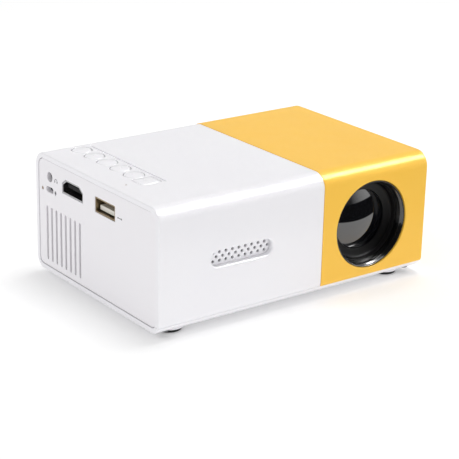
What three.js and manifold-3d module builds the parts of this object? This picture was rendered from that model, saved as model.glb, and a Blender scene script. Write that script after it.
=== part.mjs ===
// A small home projector: a white and yellow case on four rubber feet, with its ports, keys,
// speaker, cooling, light box and focusing lens inside. Millimetres, +Z up, lens facing -Y.
import * as THREE from "three";
import { mergeVertices } from "three/addons/utils/BufferGeometryUtils.js";
import Module from "manifold-3d";

const wasm = await Module();
wasm.setup();

// ---- Driving dimensions ----------------------------------------------------------------

// Case
const caseLength = 126;
const caseDepth = 86;
const caseHeight = 48; // without the feet
const topRadius = 6; // long edges at the top
const bottomRadius = 5; // long edges at the bottom
const wall = 2;
const yellowProud = 0.25; // the yellow cover stands this far outside the white one
const whiteLength = 73.8; // from the port end to the colour seam
const coverFoot = 3.3; // the covers stop this far above the bottom
const lipInset = 0.6; // keeps the tray's lips clear of the covers' curved feet
const lipThick = 0.9;
const seam = 0.25; // gap between case pieces
const plateThick = 2;
const plateRecess = 0.25; // the end plates sit this far inside the covers' ends
const fit = 0.3; // clearance of a piece in its pocket

// Feet and tripod insert
const footInset = [11, 10]; // each foot from the ends and from the front and back
const footRadius = 4.8;
const footDrop = 2.2;
const footSocketDepth = 0.8;
const footBoss = [5.7, 0.9]; // radius and drop of the raised ring round each foot
const tripodX = 0;
const tripodRadius = 5;
const tripodHoleRadius = 3.1;
const tripodDepth = 7;

// Case screws, in the four corners
const screwInset = [5.5, 5];
const screwHeadRadius = 2;
const screwHeadHeight = 1.3;
const screwShankRadius = 0.9;
const screwLength = 9;
const postRadius = 2.2;

// Keys on the top
const keyInset = 14.7; // the row from the port end
const keyFirst = 10.5; // the first key from the back
const keyGap = 0.35; // between the flanges of two round keys
const roundKeys = 5;
const keyRadius = 3.8;
const squareKeySize = [8.4, 7.2];
const squareKeyGap = 0.5;
const keyProud = 0.35;
const keyTravel = 0.5;
const flangeThick = 0.65;
const flangeLip = 0.6;
const grooveGap = 1.9; // from the round keys' edge
const grooveOver = [4.5, 2.2]; // how far it runs past the square key's and the first key's middles
const grooveWidth = 0.9;
const grooveDepth = 0.8;
const keyLightGap = 8.9; // from the middle of the square key
const keyLightRadius = 0.45;

// Ports in the left end: how far each is from the back, and its opening's drop below the board
const videoFrom = [27.2, 0.1];
const videoSize = [15.2, 5.9];
const videoChamfer = [2.6, 1.9];
const dataFrom = [50, 0.55];
const dataSize = [13.75, 6.1];
const jackFrom = [10.5, 0.2];
const jackRadius = 2.05;
const powerFrom = [10.4, 5.15]; // the second is below the jack's middle
const powerSize = [5.6, 2.4];
const lightFrom = [5.1, 0.6]; // the second is below the power socket's middle
const lightRadius = 0.75;
const portClear = 0.2; // between a connector and its opening
const shellWall = 0.4;
const portLength = 12;

// Vent slots, the same in both ends
const ventCount = 8;
const ventPitch = 3.43;
const ventWidth = 1.5;
const ventHeight = 22.3;
const ventFromBack = 20.2; // the middle of the row

// Main board, hung under the keys
const boardThick = 1.6;
const boardInset = [3, 5.55]; // from the port end, and from the front and back
const boardLength = 38.5;
const contactGap = 0.05; // spare travel between a pressed key and its switch
const switchSize = 4.5;
const switchHeight = 0.9;
const plungerRadius = 1.2;
const plungerHeight = 0.3;

// Speaker behind the front
const grilleInset = 36.5; // its middle from the port end
const grilleZ = 24.6;
const grilleSize = [28.6, 7.2];
const grilleChamfer = 0.45;
const grillePlateThick = 1;
const grilleHoleRadius = 0.68;
const grilleMargin = [2.5, 0.64]; // slot size left over by the pattern of holes
const grilleRows = [9, 10, 9];
const speakerRadius = 14;
const speakerDepth = 8;

// Fan and heat sink
const fanSize = 25;
const fanThick = 9;
const fanGap = [0.4, 1.3]; // from the end plate, and above the tray's floor
const impellerRadius = 11;
const hubRadius = 5;
const bladeCount = 7;
const sinkSize = [26, 34]; // y, z
const sinkGap = 4.35; // behind the fan
const sinkLength = 18;
const sinkFoot = 3; // above the case bottom
const sinkBase = 2.5;
const finCount = 8;
const finThick = 1;

// Optics: the light runs from the lamp along +X, turns at the mirror and leaves along -Y
const lampFromBack = 20.4;
const lampBoardSize = 20;
const lampBoardThick = 1.6;
const lampToBox = 9; // from the heat sink to the light box
const condenserRadius = 13;
const boxWall = 1.6;
const boxEndGap = 3.5; // from the lens end
const boxFrontGap = 36.5; // from the front, behind the lens
const boxLipGap = 0.35; // from the tray's back lip
const boxFloorGap = 0.35;
const boxRoofGap = 2.95; // holds the lid and leaves room for air
const lampLegHalf = 15; // from the lamp's axis to the front wall of its leg
const lidThick = 1.4;
const mirrorThick = 1.5;
const mirrorOffset = 1.4; // the mirror stands behind the point where the two axes cross
const mirrorEndGap = 0.166; // from its ends to the light box's back wall
const panelPlay = 0.5; // at each side of the three panels
const panelFloorGap = 2.5; // from the light box's floor to the panels and the mirror
const windowMargin = 2; // from the panels' edges to the picture
const rearFresnel = [9.1, 1.6]; // each panel's place behind the box's front, and its thickness
const lcd = [4.9, 2.2];
const frontFresnel = [1.7, 1.2];
const ribGap = 0.3;

// Lens and focus drive
const barrelRadius = 15.5;
const barrelFront = 6.4; // barrel face behind the case face at rest
const barrelLength = 25;
const barrelSlide = 0.35; // between the barrel and its housing
const throatGap = 0.4; // from the barrel to the narrow end of the black funnel
const throatBehind = 4.2;
const funnelFlare = 1.35; // how much wider the funnel's mouth is
const lipBehind = 0.55; // how far the funnel's mouth is behind the case face
const lensAboveFoot = 2.9; // case material under the lens hole
const barrelWall = 1.9;
const frontLensCrown = 4;
const housingWall = 1.75;
const toothModule = 0.8;
const wheelTeeth = 14;
const pressureAngle = (20 * Math.PI) / 180;
const backlash = 0.14;
const toothTip = 0.65; // wheel teeth above the pitch circle
const toothRoot = 0.95; // and below it
const rackTip = 0.45;
const rackTeeth = 6;
const rackHeight = 4.4;
const rackBack = 0.7; // solid rack between its teeth and the barrel
const wheelProud = 1.4;
const wheelFromFront = 21;
const wheelHeight = 4.8;
const axleRadius = 1;
const focusTravel = 3; // each way from the rest position

// ---- Sizes that follow from the ones above ---------------------------------------------

const innerInset = yellowProud + wall; // case outline to the covers' inside
const ceiling = caseHeight - innerInset;
const portEnd = -caseLength / 2;
const lensEnd = caseLength / 2;
const backFace = caseDepth / 2;
const frontFace = -caseDepth / 2;
const seamX = portEnd + whiteLength;
const plateInside = caseLength / 2 - plateRecess - plateThick; // |x| of the plates' inner faces
const footX = caseLength / 2 - footInset[0];
const footY = caseDepth / 2 - footInset[1];
const screwX = caseLength / 2 - screwInset[0];
const screwY = caseDepth / 2 - screwInset[1];

const keyX = portEnd + keyInset;
const keyPitch = 2 * (keyRadius + flangeLip) + keyGap;
const keyYs = Array.from({ length: roundKeys }, (_, i) => backFace - keyFirst - i * keyPitch);
const squareKeyY = keyYs[roundKeys - 1] - keyRadius - flangeLip - squareKeyGap - squareKeySize[1] / 2;
const grooveX = keyX + keyRadius + grooveGap;
const grooveEnds = [squareKeyY - grooveOver[0], keyYs[0] + grooveOver[1]];
const keyLightAt = [keyX - keyLightGap, squareKeyY];
const keyBottom = ceiling - 0.25 - flangeThick;

const boardTop = keyBottom - keyTravel - contactGap - plungerHeight - switchHeight;
const boardBottom = boardTop - boardThick;
const boardX = [portEnd + boardInset[0], portEnd + boardInset[0] + boardLength];
const boardSide = innerInset + boardInset[1];
const boardY = [frontFace + boardSide, backFace - boardSide];

// The middles of the ports, as (y, z)
const videoAt = [backFace - videoFrom[0], boardBottom - videoFrom[1] - videoSize[1] / 2];
const dataAt = [backFace - dataFrom[0], boardBottom - dataFrom[1] - dataSize[1] / 2];
const jackAt = [backFace - jackFrom[0], boardBottom - jackFrom[1] - jackRadius];
const powerAt = [backFace - powerFrom[0], jackAt[1] - powerFrom[1]];
const lightAt = [backFace - lightFrom[0], powerAt[1] - lightFrom[1]];

const grilleAt = [portEnd + grilleInset, grilleZ]; // (x, z)
const grilleFace = frontFace + innerInset + seam;
const grillePitch = [
  (grilleSize[0] - grilleMargin[0]) / (grilleRows[0]),
  (grilleSize[1] - grilleMargin[1]) / 4,
];

const ventAt = [backFace - ventFromBack, innerInset + fanGap[1] + fanSize / 2];
const fanX = [-plateInside + fanGap[0], -plateInside + fanGap[0] + fanThick];
const sinkX = [fanX[1] + sinkGap, fanX[1] + sinkGap + sinkLength];

const pitchRadius = (toothModule * wheelTeeth) / 2;
const wheelRadius = pitchRadius + toothTip;
const wheelX = lensEnd + wheelProud - wheelRadius;
const wheelY = frontFace + wheelFromFront;
const lensX = wheelX - pitchRadius - toothRoot - rackBack - barrelRadius;
const throatRadius = barrelRadius + throatGap;
const lipRadius = throatRadius + funnelFlare;
const lensHoleRadius = lipRadius + seam;
const housingRadius = barrelRadius + barrelSlide + housingWall;
const barrelBore = barrelRadius - barrelWall;
const frontLensRadius = barrelBore - 1.2;
const ringOpening = frontLensRadius - 0.4;
const rearLensRadius = barrelBore - 2.6;
const opticsZ = coverFoot + lensAboveFoot + lensHoleRadius;
const wheelZ = [opticsZ - wheelHeight / 2, opticsZ + wheelHeight / 2];
const rackZ = [opticsZ - rackHeight / 2, opticsZ + rackHeight / 2];

const lampY = backFace - lampFromBack;
const boxX = [sinkX[1] + lampToBox, lensEnd - boxEndGap];
const lipInside = innerInset + fit + lipInset + lipThick; // from the case face
const boxY = [frontFace + boxFrontGap, backFace - lipInside - boxLipGap];
const boxZ = [innerInset + boxFloorGap, ceiling - boxRoofGap];
const boxLegX = 2 * lensX - boxX[1]; // the leg towards the lens is even about the lens axis
const boxLegY = lampY - lampLegHalf;
const boxInside = [boxLegX + boxWall, boxX[1] - boxWall]; // the width of the leg towards the lens
const panelX = [boxInside[0] + panelPlay, boxInside[1] - panelPlay];
const mirrorReach = boxY[1] - boxWall - mirrorEndGap - lampY - mirrorOffset;
const mirrorLength = 2 * (mirrorReach * Math.SQRT2 - mirrorThick / 2);
const panelFoot = boxZ[0] + boxWall + panelFloorGap;
const panelHeight = 2 * (opticsZ - panelFoot); // even about the optical axis
const panelZ = [panelFoot, panelFoot + panelHeight];
const [rearFresnelY, lcdY, frontFresnelY] = [rearFresnel, lcd, frontFresnel].map(([behind, thick]) => [
  boxY[0] + behind,
  boxY[0] + behind + thick,
]);

// ---- Outlines and solids ---------------------------------------------------------------

function arc(cx, cy, radius, from, to, steps) {
  return Array.from({ length: steps + 1 }, (_, i) => {
    const a = from + ((to - from) * i) / steps;
    return new THREE.Vector2(cx + radius * Math.cos(a), cy + radius * Math.sin(a));
  });
}

function circle(cx, cy, radius, steps = 20) {
  return arc(cx, cy, radius, 0, 2 * Math.PI, steps).slice(0, steps);
}

// A rectangle with rounded corners; radii are given anticlockwise from the top right.
function rounded(cx, cy, width, height, radii, steps = 4) {
  const r = Array.isArray(radii) ? radii : [radii, radii, radii, radii];
  const turn = [[1, 1], [-1, 1], [-1, -1], [1, -1]];
  return turn.flatMap(([sx, sy], k) =>
    arc(
      cx + sx * (width / 2 - r[k]),
      cy + sy * (height / 2 - r[k]),
      r[k],
      (k * Math.PI) / 2,
      ((k + 1) * Math.PI) / 2,
      steps,
    ),
  );
}

function polygon(...pairs) {
  return pairs.map(([x, y]) => new THREE.Vector2(x, y));
}

// The case's cross-section in (y, z), drawn in by an inset.
function caseOutline(inset, steps = 6) {
  const rt = topRadius - inset;
  const rb = Math.max(bottomRadius - inset, 0.5);
  return rounded(
    0,
    caseHeight / 2,
    caseDepth - 2 * inset,
    caseHeight - 2 * inset,
    [rt, rt, rb, rb],
    steps,
  );
}

function slab(points, depth, holes = []) {
  const shape = new THREE.Shape(points);
  shape.holes = holes.map((h) => new THREE.Path(h));
  return new THREE.ExtrudeGeometry(shape, { depth, bevelEnabled: false, steps: 1 });
}

function solidOf(geometry) {
  const bare = geometry.index ? geometry.toNonIndexed() : geometry.clone();
  bare.deleteAttribute("normal");
  bare.deleteAttribute("uv");
  const merged = mergeVertices(bare, 1e-4);
  const made = new wasm.Manifold(
    new wasm.Mesh({
      numProp: 3,
      vertProperties: merged.attributes.position.array,
      triVerts: new Uint32Array(merged.index.array),
    }),
  );
  if (made.volume() <= 0) throw new Error("a solid is inside out");
  return made;
}

const axesX = new THREE.Matrix4().set(0, 0, 1, 0, 1, 0, 0, 0, 0, 1, 0, 0, 0, 0, 0, 1);
const axesY = new THREE.Matrix4().makeRotationX(Math.PI / 2);

// An outline in (y, z), carried from x0 to x1.
function alongX(points, x0, x1, holes) {
  return solidOf(slab(points, x1 - x0, holes).applyMatrix4(axesX).translate(x0, 0, 0));
}

// An outline in (x, z), carried from y0 to y1.
function alongY(points, y0, y1, holes) {
  return solidOf(slab(points, y1 - y0, holes).applyMatrix4(axesY).translate(0, y1, 0));
}

// An outline in (x, y), carried from z0 to z1.
function alongZ(points, z0, z1, holes) {
  return solidOf(slab(points, z1 - z0, holes).translate(0, 0, z0));
}

function block(x, y, z) {
  return solidOf(
    new THREE.BoxGeometry(x[1] - x[0], y[1] - y[0], z[1] - z[0]).translate(
      (x[0] + x[1]) / 2,
      (y[0] + y[1]) / 2,
      (z[0] + z[1]) / 2,
    ),
  );
}

// A profile of [radius, height] pairs turned about +Z.
function turned(pairs, steps = 32) {
  return new THREE.LatheGeometry(polygon(...pairs), steps).rotateX(Math.PI / 2);
}

// A profile of [radius, distance behind the case face] pairs turned about the lens axis.
function aroundLens(pairs, steps = 40) {
  const made = new THREE.LatheGeometry(polygon(...pairs), steps);
  return solidOf(made.translate(lensX, 0, 0).translate(0, frontFace, opticsZ));
}

function join(first, ...others) {
  return others.reduce((made, other) => made.add(other), first);
}

function cut(first, ...others) {
  return others.reduce((made, other) => made.subtract(other), first);
}

function geometryOf(solid) {
  const mesh = solid.getMesh();
  const indexed = new THREE.BufferGeometry();
  indexed.setAttribute("position", new THREE.BufferAttribute(mesh.vertProperties, 3));
  indexed.setIndex(new THREE.BufferAttribute(mesh.triVerts, 1));
  const made = indexed.toNonIndexed();
  made.computeVertexNormals();
  return made;
}

// ---- Materials -------------------------------------------------------------------------

function finish(color, roughness, metalness = 0) {
  return new THREE.MeshStandardMaterial({ color, roughness, metalness });
}

const whitePlastic = finish(0xf1f1f3, 0.45);
const yellowPlastic = finish(0xffc857, 0.4);
const blackGloss = finish(0x121214, 0.2);
const blackMatte = finish(0x1b1b1d, 0.7);
const rubber = finish(0x202020, 0.9);
const glass = finish(0x30343a, 0.05);
const clearPlastic = finish(0xdfe6ea, 0.1);
const boardGreen = finish(0x1d5b3a, 0.5);
const steel = finish(0xb9bcc0, 0.3, 1);
const aluminium = finish(0xc9ccd0, 0.4, 1);
const brass = finish(0xc9a24e, 0.35, 1);
const ivoryPlastic = finish(0xe9e4d6, 0.5);
const mirrorSilver = finish(0xe6e9ec, 0.05, 1);
const amberFilm = finish(0xb9822f, 0.5);
const paper = finish(0x2b2b2e, 0.85);

// ---- The model -------------------------------------------------------------------------

// The origin is under the middle of the overall box, which the focus wheel makes a little longer.
const model = new THREE.Group();
const projector = new THREE.Group();
projector.position.set(-wheelProud / 2, 0, footDrop);
model.add(projector);

function place(name, shape, material, x = 0, y = 0, z = 0) {
  const geometry = shape.isBufferGeometry ? shape : geometryOf(shape);
  const mesh = new THREE.Mesh(geometry, material);
  mesh.name = name;
  mesh.position.set(x, y, z);
  projector.add(mesh);
  return mesh;
}

const corners = [[-1, -1], [1, -1], [1, 1], [-1, 1]];
const cornerNames = ["front_left", "front_right", "back_right", "back_left"];

// ---- Case ------------------------------------------------------------------------------

function cover(x0, x1, outerInset) {
  const tube = alongX(caseOutline(outerInset), x0, x1, [caseOutline(innerInset).reverse()]);
  const below = block([x0 - 1, x1 + 1], [-caseDepth, caseDepth], [-1, coverFoot]);
  return cut(tube, below);
}

// A screw post that hangs from the top, tied to the long wall by a rib.
function screwPost(sx, sy) {
  const x = sx * screwX;
  const y = sy * screwY;
  const wallY = sy * (caseDepth / 2 - innerInset + 0.5);
  const post = alongZ(circle(x, y, postRadius, 16), coverFoot + 0.2, ceiling + 0.5);
  const ribTop = caseHeight - topRadius + 2;
  const rib = block([x - 0.6, x + 0.6], [Math.min(y, wallY), Math.max(y, wallY)], [12, ribTop]);
  const pilot = alongZ(circle(x, y, screwShankRadius + 0.15, 12), coverFoot - 1, screwLength + 3);
  return { solid: join(post, rib), pilot };
}

// The pins in the white cover that hold the main board, melted over under it.
const stakes = [
  [boardX[0] + 28, boardY[0] + 4.2],
  [boardX[0] + 35, boardY[1] - 4.2],
  [boardX[0] + 3, boardY[0] + 11.2],
];

function whiteCover() {
  let made = cover(portEnd, seamX, yellowProud);
  const posts = corners.filter(([sx]) => sx < 0).map(([sx, sy]) => screwPost(sx, sy));
  made = join(made, ...posts.map((p) => p.solid));
  made = cut(made, ...posts.map((p) => p.pilot));
  for (const [x, y] of stakes) {
    const shoulder = alongZ(circle(x, y, 2, 12), boardTop + 0.1, ceiling + 0.5);
    const pin = alongZ(circle(x, y, 0.9, 12), boardBottom - 0.8, ceiling);
    made = join(made, shoulder, pin);
  }
  const top = caseHeight + 1;
  for (const y of keyYs)
    made = cut(made, alongZ(circle(keyX, y, keyRadius + fit), ceiling - 1, top));
  const [w, d] = squareKeySize;
  const squareHole = rounded(keyX, squareKeyY, w + 2 * fit, d + 2 * fit, 0.9 + fit);
  const groove = rounded(
    grooveX,
    (grooveEnds[0] + grooveEnds[1]) / 2,
    grooveWidth,
    grooveEnds[1] - grooveEnds[0],
    grooveWidth / 2 - 0.01,
    3,
  );
  const surface = caseHeight - yellowProud;
  made = cut(
    made,
    alongZ(squareHole, ceiling - 1, top),
    alongZ(groove, surface - grooveDepth, top),
    alongZ(circle(...keyLightAt, keyLightRadius + 0.1, 12), ceiling - 1, top),
  );
  return cut(made, grilleSlot());
}

// The speaker slot in the front wall, chamfered outside.
function grilleSlot() {
  const [x, z] = grilleAt;
  const [w, h] = grilleSize;
  const c = grilleChamfer;
  const face = frontFace + yellowProud;
  const throat = rounded(x, z, w - 2 * c, h - 2 * c, h / 2 - c - 0.01, 8);
  const mouth = rounded(x, z, w + 2 * c, h + 2 * c, h / 2 + c - 0.01, 8);
  const flare = wasm.Manifold.hull([
    alongY(throat, face + 2 * c, face + 2 * c + 0.01),
    alongY(mouth, face - 0.01, face),
  ]);
  return join(alongY(throat, face - 1, face + innerInset + 1), flare);
}

function yellowCover() {
  let made = cover(seamX + seam, lensEnd, 0);
  const posts = corners.filter(([sx]) => sx > 0).map(([sx, sy]) => screwPost(sx, sy));
  made = join(made, ...posts.map((p) => p.solid));
  made = cut(made, ...posts.map((p) => p.pilot));
  const outline = circle(lensX, opticsZ, lensHoleRadius, 48);
  return cut(made, alongY(outline, frontFace - 1, frontFace + innerInset + 1));
}

function bottomTray() {
  const top = coverFoot - seam;
  const base = alongX(caseOutline(yellowProud), portEnd, lensEnd, [caseOutline(innerInset).reverse()]);
  const above = block([portEnd - 1, lensEnd + 1], [-caseDepth, caseDepth], [top, caseHeight + 1]);
  let made = cut(base, above);
  // Lips inside the covers' walls keep them in line, between the screw posts.
  const lipLength = 2 * (screwX - postRadius - 2);
  for (const side of [-1, 1]) {
    const inside = side * (caseDepth / 2 - lipInside);
    const outside = inside + side * lipThick;
    const y = [Math.min(outside, inside), Math.max(outside, inside)];
    made = join(made, block([-lipLength / 2, lipLength / 2], y, [innerInset - 0.5, coverFoot + 1.4]));
  }
  for (const [sx, sy] of corners) {
    const x = sx * screwX;
    const y = sy * screwY;
    made = join(made, alongZ(circle(x, y, 2.55, 16), innerInset - 0.5, coverFoot - seam));
    made = join(made, alongZ(circle(sx * footX, sy * footY, footBoss[0], 28), -footBoss[1], 1));
    made = cut(made, alongZ(circle(x, y, screwShankRadius + 0.2, 12), -1, coverFoot + 1));
    made = cut(made, alongZ(circle(x, y, screwHeadRadius + 0.2, 16), -1, screwHeadHeight + 0.3));
    made = cut(made, alongZ(circle(sx * footX, sy * footY, footRadius + 0.15, 28), -2, footSocketDepth));
  }
  made = join(made, alongZ(circle(tripodX, 0, tripodRadius + 2), innerInset - 0.5, tripodDepth + 1));
  made = cut(made, alongZ(circle(tripodX, 0, tripodRadius + 0.1), -1, tripodDepth));
  const intakeCount = 7;
  for (let i = 0; i < intakeCount; i++) {
    const x = (sinkX[0] + sinkX[1]) / 2 + (i - (intakeCount - 1) / 2) * 3;
    made = cut(made, alongZ(rounded(x, lampY, 1.5, 20, 0.74, 2), -1, innerInset + 1));
  }
  return made;
}

function ventSlots(x0, x1) {
  return Array.from({ length: ventCount }, (_, i) => {
    const y = ventAt[0] + (i - (ventCount - 1) / 2) * ventPitch;
    return alongX(rounded(y, ventAt[1], ventWidth, ventHeight, ventWidth / 2 - 0.01, 3), x0, x1);
  });
}

// The video opening, its two upper corners cut off.
function videoOutline(shrink) {
  const [y, z] = videoAt;
  const w = videoSize[0] / 2 - shrink;
  const h = videoSize[1] / 2 - shrink;
  const [cw, ch] = videoChamfer;
  return polygon(
    [y - w, z - h],
    [y + w, z - h],
    [y + w, z + h - ch],
    [y + w - cw, z + h],
    [y - w + cw, z + h],
    [y - w, z + h - ch],
  );
}

function endPlate(x0, x1) {
  return alongX(caseOutline(innerInset + seam, 6), x0, x1);
}

function portEndPlate() {
  const x0 = portEnd + plateRecess;
  const x1 = x0 + plateThick;
  const through = [x0 - 1, x1 + 1];
  return cut(
    endPlate(x0, x1),
    alongX(videoOutline(0), ...through),
    alongX(rounded(...dataAt, ...dataSize, 0.35, 2), ...through),
    alongX(circle(...jackAt, jackRadius, 20), ...through),
    alongX(rounded(...powerAt, ...powerSize, powerSize[1] / 2 - 0.01, 3), ...through),
    alongX(circle(...lightAt, lightRadius, 12), ...through),
    ...ventSlots(...through),
  );
}

function lensEndPlate() {
  const x1 = lensEnd - plateRecess;
  const x0 = x1 - plateThick;
  const reach = x0 - wheelX;
  const halfSlot = Math.sqrt(wheelRadius ** 2 - reach ** 2) + 0.6;
  const slotMiddle = (wheelZ[0] + wheelZ[1]) / 2;
  const slotHeight = wheelZ[1] - wheelZ[0] + 0.8;
  return cut(
    endPlate(x0, x1),
    alongX(rounded(wheelY, slotMiddle, 2 * halfSlot, slotHeight, 0.8, 2), x0 - 1, x1 + 1),
    ...ventSlots(x0 - 1, x1 + 1),
  );
}

// A cross-recess screw, head down.
function caseScrew() {
  const head = alongZ(circle(0, 0, screwHeadRadius, 16), 0, screwHeadHeight);
  const shank = alongZ(circle(0, 0, screwShankRadius, 12), screwHeadHeight - 0.1, screwLength);
  const bar = [-1.2, 1.2];
  const web = [-0.25, 0.25];
  return cut(join(head, shank), block(bar, web, [-1, 0.8]), block(web, bar, [-1, 0.8]));
}

function foot() {
  const r = footRadius;
  return turned([
    [0, -footDrop],
    [r - 0.6, -footDrop],
    [r, -footDrop + 0.6],
    [r, footSocketDepth - 0.05],
    [0, footSocketDepth - 0.05],
  ], 28);
}

function tripodInsert() {
  const r = tripodRadius;
  return turned([
    [tripodHoleRadius, 0.2],
    [r - 0.4, 0.2],
    [r, 0.6],
    [r, tripodDepth - 0.1],
    [0, tripodDepth - 0.1],
    [0, tripodDepth - 1],
    [tripodHoleRadius, tripodDepth - 1],
    [tripodHoleRadius, 0.2],
  ], 24);
}

function addCase() {
  place("white_cover", whiteCover(), whitePlastic);
  place("yellow_cover", yellowCover(), yellowPlastic);
  place("bottom_tray", bottomTray(), whitePlastic);
  place("port_end_plate", portEndPlate(), whitePlastic);
  place("lens_end_plate", lensEndPlate(), yellowPlastic);
  corners.forEach(([sx, sy], k) => {
    place("foot_" + cornerNames[k], foot(), rubber, sx * footX, sy * footY, 0);
    const screwZ = 0.2;
    place("case_screw_" + cornerNames[k], caseScrew(), steel, sx * screwX, sy * screwY, screwZ);
  });
  place("tripod_insert", tripodInsert(), brass, tripodX, 0, 0);
}

// ---- Keys and main board ---------------------------------------------------------------

// A key with a flange under the cover and a crowned top; outlines are drawn about its middle.
function key(top, crown, flange) {
  const surface = caseHeight - yellowProud;
  return join(
    alongZ(flange, keyBottom, keyBottom + flangeThick),
    alongZ(top, keyBottom + flangeThick - 0.1, surface),
    alongZ(crown, surface - 0.1, surface + keyProud),
  );
}

function addKeys() {
  const names = ["menu", "left", "ok", "right", "back"];
  keyYs.forEach((y, i) => {
    const made = key(
      circle(0, 0, keyRadius),
      circle(0, 0, keyRadius - 0.3),
      circle(0, 0, keyRadius + flangeLip),
    );
    place("key_" + names[i], made, whitePlastic, keyX, y, 0);
    place("switch_" + names[i], tactSwitch(), blackMatte, keyX, y, boardTop);
  });
  const [w, d] = squareKeySize;
  const made = key(
    rounded(0, 0, w, d, 0.9),
    rounded(0, 0, w - 0.6, d - 0.6, 0.7),
    rounded(0, 0, w + 2 * flangeLip, d, 0.9),
  );
  place("key_power", made, whitePlastic, keyX, squareKeyY, 0);
  place("switch_power", tactSwitch(), blackMatte, keyX, squareKeyY, boardTop);
  const lightTop = caseHeight - yellowProud - 0.1;
  const light = alongZ(circle(...keyLightAt, keyLightRadius, 12), boardTop + 0.2, lightTop);
  place("key_light", light, clearPlastic);
}

function tactSwitch() {
  const half = switchSize / 2;
  const body = block([-half, half], [-half, half], [0.02, switchHeight]);
  return join(body, alongZ(circle(0, 0, plungerRadius, 12), 0.1, switchHeight + plungerHeight));
}

// The three cable headers under the board, as the middle of each in plan.
const fanHeader = [boardX[0] + 11.9, ventAt[0] - 3.8];
const speakerHeader = [boardX[0] + 34, boardY[0] + 2.2];
const displayHeader = [boardX[0] + 36.25, (lcdY[0] + lcdY[1]) / 2 - 3.5];
const headerHeight = 3;
const displayHeaderHeight = 6;

// A block soldered under the board, from its middle, its size in plan and its height.
function soldered([x, y], [w, d], height) {
  const z = [boardBottom - height, boardBottom + 0.1];
  return block([x - w / 2, x + w / 2], [y - d / 2, y + d / 2], z);
}

// The board with the chips, coil, capacitor and cable headers soldered under it.
function mainBoard() {
  const parts = [
    soldered([boardX[0] + 28, 4], [12, 12], 1.4),
    soldered([boardX[0] + 23.5, -19.5], [7, 9], 1.1),
    alongZ(circle(boardX[0] + 8, -26, 3.2, 16), boardBottom - 4, boardBottom + 0.1),
    soldered(fanHeader, [3.4, 6], headerHeight),
    soldered(speakerHeader, [6, 3], headerHeight),
    soldered(displayHeader, [3.5, 4], displayHeaderHeight),
  ];
  let made = block(boardX, boardY, [boardBottom, boardTop]);
  made = join(made, ...parts);
  for (const [x, y] of stakes)
    made = cut(made, alongZ(circle(x, y, 1.1, 12), boardBottom - 5, boardTop + 1));
  return made;
}

function addPorts() {
  const mouth = portEnd + plateRecess + 0.2;
  const back = mouth + portLength;
  const video = cut(
    alongX(videoOutline(portClear), mouth, back),
    alongX(videoOutline(portClear + shellWall), mouth - 1, back - 1),
  );
  place("video_socket_shell", video, steel);
  const [vy, vz] = [videoAt[0], videoAt[1] + 0.35];
  const half = videoSize[0] / 2 - 2.4;
  const videoTongue = block([mouth + 1.2, back - 1.1], [vy - half, vy + half], [vz - 0.75, vz + 0.75]);
  place("video_socket_tongue", videoTongue, blackMatte);

  const [uy, uz] = dataAt;
  const uw = dataSize[0] - 2 * portClear;
  const uh = dataSize[1] - 2 * portClear;
  const data = cut(
    alongX(rounded(uy, uz, uw, uh, 0.3, 2), mouth, back),
    alongX(rounded(uy, uz, uw - 2 * shellWall, uh - 2 * shellWall, 0.15, 2), mouth - 1, back - 1),
  );
  place("data_socket_shell", data, steel);
  const tz = uz - 1.05;
  const dataHalf = dataSize[0] / 2 - 1.375;
  const dataTongue = block([mouth + 1.4, back - 1.1], [uy - dataHalf, uy + dataHalf], [tz - 0.9, tz + 0.9]);
  place("data_socket_tongue", dataTongue, ivoryPlastic);

  // One black block holds the round jack and the small power socket under it.
  const [jy, jz] = jackAt;
  const [py, pz] = powerAt;
  const [pw, ph] = [powerSize[0] - portClear, powerSize[1] - portClear];
  const blockFront = -plateInside + 0.2;
  const blockHalf = powerSize[0] / 2 + portClear + 0.1;
  const blockZ = [pz - powerSize[1] / 2 - 0.5, jz + jackRadius - 0.05];
  const body = block([blockFront, blockFront + portLength], [py - blockHalf, py + blockHalf], blockZ);
  const jack = cut(
    body,
    alongX(circle(jy, jz, jackRadius - 0.3, 16), blockFront - 1, blockFront + 10),
    alongX(rounded(py, pz, pw, ph, ph / 2 - 0.1, 3), blockFront - 1, blockFront + 6.2),
  );
  place("jack_block", jack, blackMatte);
  const socket = cut(
    alongX(rounded(py, pz, pw - 0.4, ph - 0.4, ph / 2 - 0.3, 3), blockFront, blockFront + 6),
    alongX(rounded(py, pz, pw - 0.9, ph - 0.9, ph / 2 - 0.5, 3), blockFront - 1, blockFront + 5),
  );
  place("power_socket", socket, steel);
  const pipe = join(
    alongX(circle(...lightAt, lightRadius - 0.12, 12), portEnd + plateRecess + 0.1, -plateInside + 0.3),
    alongX(circle(...lightAt, 1.2, 12), -plateInside + 0.1, -plateInside + 0.6),
  );
  place("status_light", pipe, clearPlastic);
}

// ---- Speaker ---------------------------------------------------------------------------

function speakerGrille() {
  const [x, z] = grilleAt;
  const [w, h] = grilleSize;
  let made = alongY(rounded(x, z, w + 5, h + 4, 2), grilleFace, grilleFace + grillePlateThick);
  grilleRows.forEach((count, row) => {
    for (let i = 0; i < count; i++) {
      const hx = x + (i - (count - 1) / 2) * grillePitch[0];
      const hz = z + (1 - row) * grillePitch[1];
      made = cut(made, alongY(circle(hx, hz, grilleHoleRadius, 8), grilleFace - 1, grilleFace + 2));
    }
  });
  return made;
}

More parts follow.
